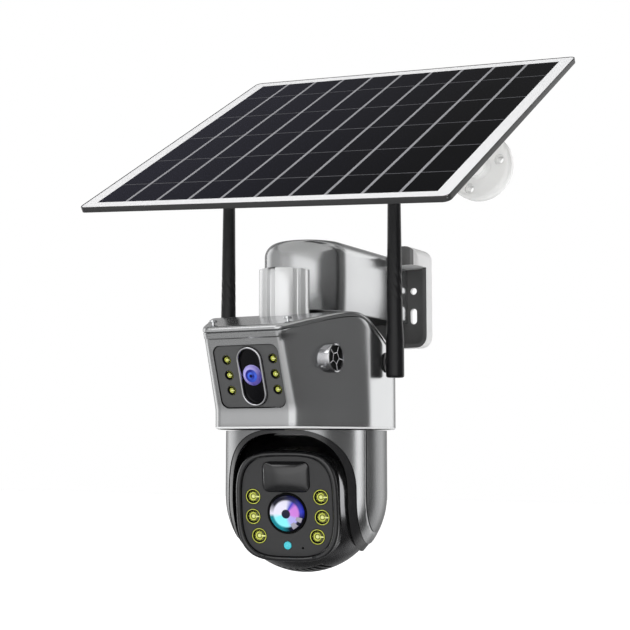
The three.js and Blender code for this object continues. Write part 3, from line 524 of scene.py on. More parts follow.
def wall_top(y, drop):
    """Where the wall over a plan point meets the roof line less a drop."""
    z = TOP_Z
    for _ in range(6):
        z = roof_height(stretched(y, z)) - drop
    return z


def wall_ring(share, drop, pulled=0.0, brow=0.0, rim=0.0):
    """One ring of the wall at a share of its height, from the rim to the roof."""
    ring = []
    for x, y in inset(PLAN, pulled):
        z = BOTTOM + rim + (wall_top(y, drop) - BOTTOM - rim) * share
        front = max(0, min(1, (-y - 55) / 9))
        ring.append((x, stretched(y, z) - brow * front, z))
    return ring


def build_shell():
    top = ROOF_THICK + 0.35
    rings = [wall_ring(0, top, 1.1), wall_ring(0, top, 0.3, rim=0.35),
             wall_ring(0, top, 0, rim=1.1)]
    rings += [wall_ring(k / 16, top, rim=1.1) for k in range(1, 15)]
    rings += [wall_ring(0.926, top), wall_ring(0.938, top, brow=0.8)]
    rings += [wall_ring(0.985, top, brow=0.8), wall_ring(1, top, 0.35, brow=0.4)]
    rings += [wall_ring(1, top, WALL), wall_ring(0.5, top, WALL), wall_ring(0, top, WALL)]
    shell = loft("upper_shell_skin", rings, AT_HOUSING, wrap=True)
    cutters = [prism("cut_window", rounded_box(WINDOW_W, WINDOW_H, WINDOW_R), -6, 4, AT_WINDOW),
               rod_x("cut_speaker", 6, 30, 60, SPEAKER_Y, SPEAKER_Z, AT_HOUSING),
               rod_x("cut_left", 4.4, -60, 0, AERIAL_LEFT[1], AERIAL_PIVOT, AT_HOUSING),
               rod_x("cut_right", 4.4, 0, 60, AERIAL_RIGHT[1], AERIAL_PIVOT, AT_HOUSING),
               rod_y("cut_reset", 3, 40, 60, -14, 52, AT_HOUSING),
               rod_y("cut_port", 4.6, 40, 60, 14, 52, AT_HOUSING)]
    boolean(shell, cutters)
    bevel_cut(shell, 0.7)
    settle(shell, SILVER, "root", "silver_shell", "upper_shell")
    accent(shell, RIM_LIGHT, AT_HOUSING, lambda p: p.z < BOTTOM + 0.9)


def rod_x(name, radius, x0, x1, y, z, place):
    return turned(name, [(radius, x0), (radius, x1)], place @ shift(0, y, z) @ turn(90, "Y"), 40)


def rod_y(name, radius, y0, y1, x, z, place):
    return turned(name, [(radius, -y1), (radius, -y0)], place @ shift(x, 0, z) @ turn(90, "X"), 40)


def build_roof():
    """The lid: a rounded rim, then the crowned top in shrinking rings."""
    drop = ROOF_THICK
    rings = [roof_ring(1, 2.2, -drop), roof_ring(1, 0.3, -drop), roof_ring(1, 0, -drop + 0.35),
             roof_ring(1, 0, -1.7), roof_ring(1, 0.25, -0.85), roof_ring(1, 0.9, -0.25),
             roof_ring(1, 1.8, -0.02)]
    rings += [roof_ring(1 - k / 15, 1.8, 0) for k in range(1, 15)]
    top = loft("roof_skin", rings, AT_HOUSING, caps=(False, True), sharp=50)
    under = [roof_ring(1, 2.2, -drop)] + [roof_ring(1 - k / 6, 2.2, -drop) for k in range(1, 6)]
    bottom = loft("roof_under", under, AT_HOUSING, caps=(False, True), sharp=50)
    roof = join("roof_skin", [top, bottom])
    tidy_mesh(roof.data, 50)
    return settle(roof, SILVER, "root", "silver_shell", "roof_cover")


def roof_ring(share, pulled, lift):
    ring = []
    for x, y in inset(PLAN, pulled):
        z = wall_top(y, 0)
        edge_y = stretched(y, z)
        mid = -15
        px, py = x * share, mid + (edge_y - mid) * share
        ring.append((px, py, roof_height(py) + lift))
    return ring


# ---- Arm, neck and wall plate ----
def arm_plan(pulled):
    half = ARM_HALF - pulled
    nose = [(half * math.cos(a), ARM_NOSE_Y + half * math.sin(a))
            for a in around(48, math.pi, math.pi)] + [(half, ARM_NOSE_Y)]
    back = ARM_BACK_Y
    side = [(half - 1.5 * k / 6, ARM_NOSE_Y + (back - ARM_NOSE_Y) * k / 6) for k in range(1, 7)]
    return nose + side + [(-x, y) for x, y in reversed(side)]


def build_arm():
    """Outer skin with a rounded crown, and an inner skin, open below."""
    rings = [[(x, y, ARM_BOTTOM) for x, y in arm_plan(WALL)],
             [(x, y, ARM_BOTTOM) for x, y in arm_plan(0.4)],
             [(x, y, ARM_BOTTOM + 0.4) for x, y in arm_plan(0)]]
    for k in range(13):
        a = math.pi / 2 * k / 12
        z = ARM_TOP - ARM_ROUND + ARM_ROUND * math.sin(a)
        rings.append([(x, y, z) for x, y in arm_plan(ARM_ROUND * (1 - math.cos(a)))])
    rings += [[(x * s, ARM_NOSE_Y + (y - ARM_NOSE_Y) * (s if y < ARM_NOSE_Y else 1), ARM_TOP)
               for x, y in arm_plan(ARM_ROUND)] for s in (0.66, 0.33)]
    outer = loft("arm_skin", rings, caps=(False, True), sharp=60)
    inner = loft("arm_inner", [[(x, y, z) for x, y in arm_plan(WALL + extra)]
                               for z, extra in ((ARM_BOTTOM, 0), (19, 0), (24, 3), (26, 8))],
                 caps=(False, True))
    arm = join("arm_skin", [outer, inner])
    tidy_mesh(arm.data, 60)
    return settle(arm, SILVER, "root", "silver_shell", "arm_shell")


def build_neck():
    """Fluted column in front of the arm, with screw channels every sixty degrees."""
    channel, count = 2.6, 288
    outline = []
    for a in around(count):
        off = min(abs(math.remainder(a - math.radians(30 + 60 * k), 2 * math.pi))
                  for k in range(6))
        width = off * NECK_R
        dip = 2.2 * (1 - (width / channel) ** 6) if width < channel else 0
        r = NECK_R - dip
        outline.append((NECK_X + r * math.cos(a), NECK_AT + r * math.sin(a)))
    column = prism("neck_skin", outline, NECK_FOOT, NECK_TOP, round_edge=0.6, sharp=40)
    return settle(column, NECK_SILVER, "root", "light_silver", "neck_column")


# ---- Fixed camera ----
def stadium(grow):
    return rounded_box(STADIUM_W + grow, STADIUM_H + grow, STADIUM_W + grow - 0.02, 16,
                       STADIUM_X)


def window_leds():
    return [(STADIUM_X + side * FIXED_LED_SPREAD, row * FIXED_LED_PITCH + 1)
            for side in (-1, 1) for row in (-1, 0, 1)]


def build_window():
    outline = rounded_box(WINDOW_W - 0.45, WINDOW_H - 0.45, WINDOW_R - 0.3)
    plate = prism("window_skin", outline, -2.3, -0.5, AT_WINDOW, round_edge=0.3)
    cutters = [prism("cut_stadium", stadium(0), -5, 3, AT_WINDOW)]
    cutters += [turned("cut_led", [(FIXED_LED_R + 0.35, -5), (FIXED_LED_R + 0.35, 3)],
                       AT_WINDOW @ shift(x, y, 0), 32) for x, y in window_leds()]
    boolean(plate, cutters)
    bevel_cut(plate, 0.25)
    return settle(plate, WINDOW_GREY, "root", "dark_plastic", "fixed_window")


def ring_between(name, outer, inner, z0, z1, place, round_edge=0.3):
    """A frame between two outlines, with rounded front rims."""
    rings = []
    for outline, pulled, z in ((inner, 0, z0), (outer, 0, z0), (outer, 0, z1 - round_edge),
                               (outer, round_edge * 0.3, z1 - round_edge * 0.3),
                               (outer, round_edge, z1), (inner, -round_edge, z1),
                               (inner, -round_edge * 0.3, z1 - round_edge * 0.3),
                               (inner, 0, z1 - round_edge)):
        rings.append([(x, y, z) for x, y in inset(outline, pulled)])
    return loft(name, rings, place, wrap=True, sharp=45)


def build_fixed_eye():
    bezel = ring_between("bezel_skin", stadium(-0.3), stadium(-1.6), -2.3, 1.0, AT_WINDOW, 0.5)
    settle(bezel, CHROME, "root", "light_silver", "fixed_bezel")
    glass = prism("glass_skin", stadium(-1.9), -2, -1.1, AT_WINDOW, round_edge=0.2)
    settle(glass, GLASS_BLACK, "root", "black_glass", "fixed_glass")
    at = AT_WINDOW @ shift(STADIUM_X, 0.6, -0.95)
    # The colours by direction are the coating's tint with painted reflections.
    pale, dusk = (0.42, 0.38, 0.78), (0.10, 0.08, 0.34)
    deep, bright = (0.012, 0.016, 0.20), (0.05, 0.12, 0.66)
    colors = [(0, 0, [(0.0, pale), (0.25, dusk), (0.5, dusk), (0.8, pale), (1.0, pale)]),
              (0.60, 0.68, [(0.0, deep), (0.5, bright), (0.75, deep), (1.0, deep)]),
              (0.34, 0.42, [(0.0, bright), (0.5, deep), (0.75, bright), (1.0, bright)])]
    blue = lens_material("fixed_lens_glass", at, 6.0, colors, 0.16, (0.003, 0.003, 0.03))
    dome = [(6.2, -2), (6.2, 0.1), (5.7, 0.55), (5.5, 0.5)]
    dome += [(5.5 * math.cos(a), 0.5 + 1.5 * math.sin(a)) for a in around(8, 0, math.pi / 2)]
    lens = turned("fixed_lens_skin", dome + [(0.02, 2.0)], at, 64)
    settle(lens, blue, "root", "lens_glass", "fixed_lens")


def lamp(name, radius, depth, place, body):
    """A lamp cup: a black seat painted as the hole's shadow, a stepped yellow bowl with its groove
    and well painted dark as shade, a domed emitter, and dark wedges that paint the shade on one
    side of the cup.
    """
    def ringed(part, profile, material, segments=40):
        piece = turned(name + part, [(r * radius, z * depth) for r, z in profile], place,
                       segments)
        return dress(piece, material)

    # The seat's black is the painted shadow of the hole.
    seat = ringed("_seat", [(1.05, -1), (1.05, -0.05), (1.0, -0.05), (0.99, -0.75),
                            (0.01, -0.78)], BLACK_AND_PAINTED_SHADE)
    bowl = ringed("_bowl", [(1.0, -0.8), (1.0, 0.0), (0.95, 0.05), (0.90, 0.0),
                            (0.74, -0.16), (0.64, -0.2), (0.62, -0.4)], LED_YELLOW)
    # The groove and the well are painted dark as shade in their recesses.
    groove = ringed("_groove", [(0.63, -0.3), (0.54, -0.3)], LED_PAINTED_SHADE)
    step = ringed("_step", [(0.55, -0.5), (0.55, -0.14), (0.50, -0.1), (0.40, -0.14),
                            (0.36, -0.3)], LED_YELLOW)
    well = ringed("_well", [(0.37, -0.28), (0.27, -0.28)], LED_PAINTED_SHADE)
    dome = [(0.28 * math.cos(a), -0.3 + 0.3 * math.sin(a))
            for a in around(6, 0, math.pi / 2)]
    emitter = ringed("_dome", dome + [(0.01, 0)], LED_PALE, 24)
    parts = [seat, bowl, groove, step, well, emitter]
    # Dark wedges on one side of the cup are painted shade.
    for side in (-1, 1):
        angles = [math.radians(side * (14 + 34 * k / 6)) for k in range(7)]
        shade_wedge = [(0.52 * radius * math.cos(a), 0.52 * radius * math.sin(a)) for a in angles]
        shade_wedge += [(0.88 * radius * math.cos(a), 0.88 * radius * math.sin(a))
                  for a in reversed(angles)]
        shade_wedge = shade_wedge if side < 0 else shade_wedge[::-1]
        parts.append(dress(prism(name + "_notch", shade_wedge, -0.5 * depth, 0.0, place), LED_PAINTED_SHADE))
    bar = rounded_box(0.26 * radius, 0.09 * radius, 0.05 * radius, 3, 0.62 * radius)
    parts.append(dress(prism(name + "_bar", bar, -0.4 * depth, 0.05 * depth, place), LED_PALE))
    piece = join(name, parts)
    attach(piece, body)
    return piece


def build_fixed_lamps():
    for i, (x, y) in enumerate(window_leds()):
        lamp(f"fixed_lamp_{i + 1}", FIXED_LED_R, 1.8, AT_WINDOW @ shift(x, y, -0.55), "root")


# ---- Speaker ----
def build_speaker():
    at = (AT_HOUSING @ shift(SPEAKER_END, SPEAKER_Y, SPEAKER_Z) @ turn(SPEAKER_YAW, "Z")
          @ turn(90, "Y"))
    r = SPEAKER_R
    rim = turned("speaker_rim", [(r - 1.4, -9), (r, -9), (r, -0.9), (r - 0.25, -0.3),
                                 (r - 0.8, 0), (r - 1.2, -0.3), (r - 1.4, -1.2)], at, 72)
    close_loop(rim, 72)
    settle(rim, CHROME, "root", "light_silver", "speaker_cap")
    disc = turned("speaker_disc", [(0.01, -1.7), (r - 1.5, -1.7), (r - 1.5, -1.3), (0.01, -1.3)],
                  at, 48)
    settle(disc, BLACK_AND_PAINTED_SHADE, "root", "black_plastic", "speaker_grille")
    spokes = []
    for k in range(5):
        outline = [(3.3, -0.22), (r - 1.5, -0.22), (r - 1.5, 0.22), (3.3, 0.22)]
        spokes.append(prism(f"spoke_{k}", outline, -1.3, -0.75, at @ turn(72 * k + 12, "Z")))
    hub = [(3.7 * math.cos(a), 3.7 * math.sin(a)) for a in around(5, math.radians(12))]
    hole = [(3.2 * math.cos(a), 3.2 * math.sin(a)) for a in around(5, math.radians(12))]
    spokes.append(ring_between("spoke_hub", hub, hole, -1.3, -0.7, at, 0.05))
    settle(join("speaker_spokes", spokes), CHROME, "root", "light_silver")
    tab = box_between("speaker_tab", (5.0, -r - 2.2, -4.2), (6.0, -r + 2.6, -3.0), at)
    settle(bevel(tab, 0.3), CHROME, "root", "light_silver")


def close_loop(thing, segments):
    """Joins a turned ring's first and last loops in place of its two flat caps."""
    bm = bmesh.new()
    bm.from_mesh(thing.data)
    caps = [f for f in bm.faces if len(f.verts) == segments]
    bmesh.ops.delete(bm, geom=caps, context="FACES_ONLY")
    edges = [e for e in bm.edges if len(e.link_faces) == 1]
    bmesh.ops.bridge_loops(bm, edges=edges)
    bm.to_mesh(thing.data)
    bm.free()
    tidy_mesh(thing.data, 35)


# ---- Yoke ----
def capsule(name, radius, top):
    """A hemisphere below an upright cylinder, on the yoke's axis."""
    rows = 26
    profile = [(radius * math.sin(math.pi / 2 * k / rows),
                -radius * math.cos(math.pi / 2 * k / rows)) for k in range(rows + 1)]
    profile[0] = (0.02, -radius)
    profile += [(radius, top * k / 8) for k in range(1, 9)]
    return turned(name, profile, AT_YOKE, 160)


def arch(half, top):
    """Superellipse arch on straight legs, as (x, z) points."""
    points, count, foot = [], 64, -60
    for k in range(count + 1):
        a = math.pi * k / count
        c, s = math.cos(a), max(0, math.sin(a))
        points.append((half * math.copysign(abs(c) ** (2 / ARCH_POWER), c),
                       top * s ** (2 / ARCH_POWER)))
    return points + [(-half, foot), (half, foot)]


def arch_prism(name, half, top, near, far):
    """An arch pulled forward, from y = -near to y = -far."""
    return prism(name, arch(half, top), near, far, AT_YOKE @ turn(90, "X"))


def build_yoke_shell():
    shell = capsule("yoke_skin", YOKE_R, YOKE_TOP)
    cutters = [capsule("cut_inside", YOKE_R - YOKE_WALL, DECK),
               box_between("cut_right", (COVER_X, -60, -60), (60, 60, 60), AT_YOKE),
               box_between("cut_left", (-60, -60, -60), (-COVER_X, 60, 60), AT_YOKE),
               arch_prism("cut_arch", OPEN_HALF, OPEN_TOP, -0.5, 60),
               arch_prism("cut_back", OPEN_HALF, 10, -60, 0.5)]
    boolean(shell, cutters)
    bevel_cut(shell, 0.5)
    return settle(shell, YOKE_SILVER_SHADED, "yoke", "silver_shell", "yoke_shell")


def build_cheeks():
    """Dark inner walls that close the yoke's arms beside the ball."""
    for side, name in ((-1, "left"), (1, "right")):
        wall = capsule("cheek_" + name, YOKE_R - YOKE_WALL - 0.1, DECK - 0.1)
        low, high = sorted((side * INNER_HALF, side * (INNER_HALF + 1.6)))
        keep = box_between("keep", (low, -60, -60), (high, 60, 60), AT_YOKE)
        boolean(wall, [keep], "INTERSECT")
        settle(wall, BLACK_AND_PAINTED_SHADE, "yoke", "dark_plastic")


def build_trim():
    """Dark bevelled lip round the front opening, sloping inward from the silver."""
    depth = TRIM_DEEP
    trim = capsule("trim_skin", YOKE_R - 0.35, YOKE_TOP - 0.15)
    cutters = [capsule("cut_core", YOKE_R - depth, YOKE_TOP + 5),
               box_between("cut_rear", (-60, 0.5, -60), (60, 60, 60), AT_YOKE)]
    boolean(trim, cutters)
    boolean(trim, [arch_prism("keep_outer", OPEN_HALF - 0.3, OPEN_TOP - 0.3, -1, 60)],
            "INTERSECT")
    boolean(trim, [arch_prism("cut_inner", TRIM_HALF, TRIM_TOP, -2, 61)])
    bevel_cut(trim, 1.1)
    return settle(trim, DARK_SHELL, "yoke", "dark_plastic", "yoke_trim")


def build_covers():
    for side, name in ((-1, "left"), (1, "right")):
        cover = capsule("cover_skin_" + name, YOKE_R, YOKE_TOP)
        boolean(cover, [capsule("cut_inside", YOKE_R - YOKE_WALL, YOKE_TOP - YOKE_WALL)])
        low, high = sorted((side * (COVER_X + 0.5), side * 60))
        keep = box_between("keep", (low, -60, -60), (high, 60, 60), AT_YOKE)
        boolean(cover, [keep], "INTERSECT")
        bevel_cut(cover, 0.4)
        settle(cover, COVER_SILVER_SHADED, "yoke", "silver_shell", "arm_cover_" + name)


# ---- Ball head ----
def face_radius(angle, half_w, half_h):
    """Distance from the face centre to the squircle in one direction."""
    c, s = abs(math.cos(angle)), abs(math.sin(angle))
    return ((c / half_w) ** FACE_POWER + (s / half_h) ** FACE_POWER) ** (-1 / FACE_POWER)


def build_ball():
    """The ball, its barrel back and its squircle brow are joined, then slotted below."""
    ball = capsule_ball("ball_skin", BALL_R, BALL_HALF, BARREL_R)
    edge = squircle()
    front = FACE_FRONT - 5.5
    brow = prism("brow", edge, 18, front, AT_HEAD @ turn(90, "X"))
    boolean(ball, [brow], "UNION")
    boolean(ball, [box_between("cut_front", (-60, -60, -60), (60, 0.01 - front, 60), AT_HEAD)])
    slots = []
    for i in range(9):
        x = (i - 4) * 4
        floor = 2.2 - math.sqrt(BALL_R ** 2 - SLOT_Y ** 2 - x ** 2)
        slots.append(box_between("slot", (-0.95, -7, -60), (0.95, 7, floor),
                                 AT_HEAD @ shift(x, -SLOT_Y, 0) @ turn(-20, "Z")))
    boolean(ball, slots, sharp=40)
    settle(ball, BALL_DARK, "head", "dark_plastic", "head_shell")
    # Painted shade: the faces inside the slots are made near-black.
    accent(ball, BLACK_AND_PAINTED_SHADE, AT_HEAD, lambda p: p.length < BALL_R - 0.5 and p.y + p.z < 0
           and abs(p.x) < 24 and p.z < -30)
    # Painted shade: the barrel at the top and back of the ball is made black where the ball falls
    # into shadow.
    accent(ball, BLACK, AT_HEAD, lambda p: p.y + p.z > -1 and p.y > -FACE_FRONT + 12)


def capsule_ball(name, radius, half, barrel):
    """A ball cut flat at the sides, with its top and back turned down to a barrel."""
    count, bands = 160, 48
    rings = []
    for k in range(bands + 1):
        x = -half + 2 * half * k / bands
        full = math.sqrt(radius ** 2 - x ** 2)
        ring = []
        for a in around(count):
            reach = full if math.sin(a) + math.cos(a) <= 0 else min(full, barrel)
            ring.append((x, reach * math.cos(a), reach * math.sin(a)))
        rings.append(ring)
    return loft(name, rings, AT_HEAD, sharp=40)


def accent(thing, material, place, test):
    """The faces whose centre passes the test in the local frame get another material, a second
    finish or painted shade.
    """
    thing.data.materials.append(material)
    back = place.inverted()
    for face in thing.data.polygons:
        if test(back @ (face.center / MM)):
            face.material_index = len(thing.data.materials) - 1


def squircle(half_w=FACE_W, half_h=FACE_H):
    return [(face_radius(a, half_w, half_h) * math.cos(a),
             FACE_Z + face_radius(a, half_w, half_h) * math.sin(a)) for a in around(160)]


def build_face():
    front = FACE_FRONT - PLATE_Y
    outer, inner = squircle(), squircle(PLATE_W + 0.3, PLATE_H + 0.3)
    profile = [(inner, 0, -4), (outer, 0, -3.9), (outer, 0, front - 1.6),
               (outer, 0.35, front - 0.7), (outer, 1.1, front - 0.1), (outer, 1.9, front),
               (inner, -1.0, front - 0.15), (inner, -0.3, front - 0.5), (inner, 0, front - 1.2)]
    ring = loft("ring_skin", [[(x, y, z) for x, y in inset(line, pulled)]
                              for line, pulled, z in profile], AT_FACE, wrap=True, sharp=55)
    settle(ring, DARK_SHELL, "head", "dark_plastic", "head_ring")
    plate = prism("face_skin", squircle(PLATE_W, PLATE_H), -2, 0, AT_FACE, round_edge=0.35)
    cutters = [turned("cut_lamp", [(HEAD_LED_R + 0.35, -4), (HEAD_LED_R + 0.35, 2)],
                      AT_FACE @ shift(side * x, z, 0), 48)
               for side in (-1, 1) for x, z in HEAD_LEDS]
    cutters += [turned("cut_lens", [(LENS_R + 0.3, -4), (LENS_R + 0.3, 2)],
                       AT_FACE @ shift(0, LENS_Z, 0), 72),
                prism("cut_pir", rounded_box(PIR_W + 0.3, PIR_H + 0.3, 4.2, 8, 0, PIR_Z), -4, 2,
                      AT_FACE),
                turned("cut_status", [(2.6, -4), (2.6, 2)], AT_FACE @ shift(-0.5, -24.2, 0), 32),
                turned("cut_mic", [(0.7, -4), (0.7, 2)], AT_FACE @ shift(9, -25.6, 0), 24)]
    boolean(plate, cutters)
    bevel_cut(plate, 0.3)
    settle(plate, FACE_GREY, "head", "dark_plastic", "face_plate")


def build_pir():
    """Convex motion window: a pillow of dark glass on a rounded rectangle."""
    outline = rounded_box(PIR_W, PIR_H, 4.2, 10)
    rings = [[(x, PIR_Z + y, -2) for x, y in outline]]
    for k in range(20):
        size = math.cos(math.pi / 2 * k / 20)
        ring = []
        for x, y in outline:
            u, v = abs(x * size / PIR_W), abs(y * size / PIR_H)
            rise = 3.4 * (1 - u ** 2.6) ** 0.7 * (1 - v ** 3) ** 0.7
            ring.append((x * size, PIR_Z + y * size, 0.1 + rise))
        rings.append(ring)
    dome = loft("pir_skin", rings, AT_FACE, sharp=70)
    settle(dome, PIR_GLASS, "head", "black_glass", "pir_window")


def build_main_lens():
    at = AT_FACE @ shift(0, LENS_Z, 0)
    r = LENS_R
    barrel = turned("lens_barrel", [(r, -3), (r, 0.2), (r - 0.4, 0.6), (r - 1.0, 0.5),
                                    (r - 1.2, -0.2), (r - 1.3, -3)], at, 96)
    settle(barrel, BLACK_AND_PAINTED_SHADE, "head", "lens_glass")
    # The colours by direction are the coating's tint with painted reflections; the pale glare tone
    # is a painted reflection.
    night, deep, blue = (0.008, 0.008, 0.02), (0.01, 0.012, 0.10), (0.03, 0.04, 0.55)
    cyan, teal = (0.25, 0.85, 0.92), (0.01, 0.22, 0.27)
    painted_glare, violet, rose = (0.80, 0.78, 0.92), (0.45, 0.42, 0.85), (0.62, 0.22, 0.72)
    outer = [(0.0, painted_glare), (0.03, teal), (0.20, teal), (0.28, night), (0.45, night),
             (0.52, blue), (0.66, deep), (0.78, night), (0.90, night), (1.0, painted_glare)]
    middle = [(0.0, painted_glare), (0.06, cyan), (0.26, cyan), (0.33, violet), (0.42, violet),
              (0.47, rose), (0.60, rose), (0.66, blue), (0.74, painted_glare), (1.0, painted_glare)]
    coat = lens_material("main_lens_glass", at, r, [(0, 0, outer), (0.60, 0.72, middle)], 0.22,
                         (0.006, 0.006, 0.03))
    dome = [(r - 1.25, -2.6), (r - 1.25, 0.2)]
    dome += [((r - 1.25) * math.cos(a), 0.2 + 2.6 * math.sin(a))
             for a in around(14, 0, math.pi / 2)]
    glass = turned("lens_dome", dome + [(0.02, 2.8)], at, 96)
    settle(glass, coat, "head", "lens_glass", "main_lens")
    # Two pale patches on the dome are painted reflections.
    glint_patches = [lens_bar(f"lens_bar_{i}", degrees, half, r - 1.25, at)
            for i, (degrees, half) in enumerate(((-24, 9), (-57, 11)))]
    settle(join("lens_bars", glint_patches), LENS_PAINTED_GLINT, "head", "lens_glass")
    status = turned("status_skin", [(2.35, -3), (2.35, 0.05), (2.0, 0.3), (1.0, 0.45),
                                    (0.02, 0.5)], AT_FACE @ shift(-0.5, -24.2, 0), 40)
    settle(status, CYAN, "head", "cyan_light", "status_light")


def lens_bar(name, degrees, half, radius, place):
    """A painted reflection: a pale patch lying on the dome, between two radii and two directions.
    """
    rows = []
    for lift in (0.01, 0.07):
        for share in (0.62, 0.70, 0.78, 0.86, 0.93):
            r = radius * share
            z = 0.2 + 2.6 * math.sqrt(1 - share ** 2) + lift
            rows.append([(r * math.cos(a), r * math.sin(a), z)
                         for a in (math.radians(degrees + half * k / 4) for k in range(-4, 5))])
    front, back = rows[5:], rows[:5]
    rings = [b + f[::-1] for b, f in zip(back, front)]
    return loft(name, rings, place)


def build_head_lamps():
    for side, name in ((-1, "left"), (1, "right")):
        for i, (x, z) in enumerate(HEAD_LEDS):
            lamp(f"head_lamp_{name}_{i + 1}", HEAD_LED_R, 3.2, AT_FACE @ shift(side * x, z, 0),
                 "head")


# ---- Aerials ----
def build_aerial(name, x, y):
    """Tapered rubber whip with a band of slanting ribs above its foot."""
    at = shift(x, PAN_POINT[1] + y, PAN_POINT[2] + AERIAL_PIVOT)
    stub_end = abs(x) - STUB_END
    low, high = AERIAL_BASE - AERIAL_PIVOT, AERIAL_TIP - AERIAL_PIVOT
    rings = []
    levels = [(low, 4.6), (low + 0.3, 5.2), (low + 1.0, 5.55)]
    levels += [(low + 1 + (high - low - 4) * k / 150, None) for k in range(1, 151)]
    levels += [(high - 1.6, 3.7), (high - 0.6, 2.8), (high, 1.2)]
    for z, fixed in levels:
        ring = []
        for a in around(56):
            r = fixed or aerial_radius(z, high)
            if 38 < z < 62 and not fixed:
                phase = math.sin(7 * a + (z - 38) * 0.9)
                fade = min(1, (z - 38) / 3, (62 - z) / 3)
                r -= 0.32 * fade * max(0, phase) ** 2
            ring.append((r * math.cos(a), r * math.sin(a), z))
        rings.append(ring)
    whip = loft(f"whip_{name}", rings, at, sharp=50)
    stub = turned(f"stub_{name}", [(4.6, 0), (4.6, stub_end - 0.3), (4.2, stub_end)],
                  at @ turn(-90 if x > 0 else 90, "Y"), 40)
    piece = join(f"whip_{name}", [whip, stub])
    settle(piece, BLACK, f"antenna_{name}", "black_plastic", f"antenna_{name}")


def aerial_radius(z, high):
    """Straight foot, a shoulder, then a long taper to the tip."""
    if z < 14:
        return 5.6
    share = (z - 14) / (high - 14)
    return 5.6 - 0.55 * min(1, (z - 14) / 12) - 1.1 * share


# ---- Solar panel ----
def build_panel():
    """The laminate's face is a grid of cells, tabbing lines and a white border."""
    half_w, half_d = PANEL_W / 2 - PANEL_RIM - 0.1, PANEL_D / 2 - PANEL_RIM - 0.1
    border_x, border_y, thick_line, thin_line = 8.1, 6.9, 1.9, 0.9
    xs = bands(half_w, border_x, [1] * 10, thick_line)
    ys = bands(half_d, border_y, [0.7, 1, 1, 1, 1, 0.7], thin_line)
    points = [(x, y, -0.28) for y, _ in ys for x, _ in xs]
    faces, kinds = [], []
    for j in range(len(ys) - 1):
        for i in range(len(xs) - 1):
            k = j * len(xs) + i
            faces.append((k, k + 1, k + 1 + len(xs), k + len(xs)))
            pair = (xs[i][1], ys[j][1])
            kinds.append(0 if "edge" in pair else 1 if pair[0] == "line" else
                         2 if pair[1] == "line" else 3)
    back = len(points)
    points += [(x, y, -1.4) for x, y in ((-half_w, -half_d), (half_w, -half_d),
                                         (half_w, half_d), (-half_w, half_d))]
    faces.append((back + 3, back + 2, back + 1, back))
    kinds.append(0)
    laminate = make_mesh("laminate_skin", points, faces, AT_PANEL)
    for material in (CELL_BORDER, BUSBAR, FINGER, cell_material()):
        laminate.data.materials.append(material)
    for face, kind in zip(laminate.data.polygons, kinds):
        face.material_index = kind
    settle(laminate, None, "panel", "solar_glass", "panel_cells")
    outline = rounded_box(PANEL_W / 2, PANEL_D / 2, 4, 10)
    inner = rounded_box(PANEL_W / 2 - PANEL_RIM, PANEL_D / 2 - PANEL_RIM, 4 - PANEL_RIM, 10)
    rim = ring_between("panel_rim", outline, inner, -PANEL_THICK, 0, AT_PANEL, 0.25)
    settle(rim, PANEL_EDGE, "panel", "panel_edge", "panel_frame")


def bands(half, border, shares, line):
    """Grid positions with what lies after each: edge, cell or line."""
    span = (2 * (half - border) - line * (len(shares) - 1)) / sum(shares)
    stops = [(-half, "edge")]
    at = -half + border
    for k, share in enumerate(shares):
        stops.append((at, "cell"))
        at += span * share
        stops.append((at, "line" if k + 1 < len(shares) else "edge"))
        at += line
    return stops + [(half, "end")]


def build_base():
    r = BASE_R
    profile = [(r - 0.6, 0), (r, 0.6), (r, BASE_THICK - 4.2)]
    profile += [(r - 4.0 * (1 - math.cos(a)), BASE_THICK - 4.2 + 4.2 * math.sin(a))
                for a in around(8, 0, math.pi / 2)][1:]
    profile += [(r - 4.0, BASE_THICK), (BOSS_R + 2.2, BASE_THICK),
                (BOSS_R + 0.7, BASE_THICK + 0.4), (BOSS_R, BASE_THICK + 1.6),
                (BOSS_R, BOSS_END - 0.8), (BOSS_R - 0.8, BOSS_END)]
    disc = turned("base_skin", profile, AT_BASE, 128)
    cutters = [turned("cut_bore", [(4, 4), (4, 30)], AT_BASE, 40)]
    for degrees in (9, 129, 249):
        spot = AT_BASE @ turn(degrees, "Z") @ shift(16, 0, 0)
        cutters.append(turned("cut_hole", [(2.3, -1), (2.3, 12)], spot, 40))
        cutters.append(turned("cut_sink", [(3.6, BASE_THICK - 1.6), (3.6, 12)], spot, 40))
    boolean(disc, cutters)
    bevel_cut(disc, 0.3)
    settle(disc, WHITE, "root", "white_plastic", "panel_base")


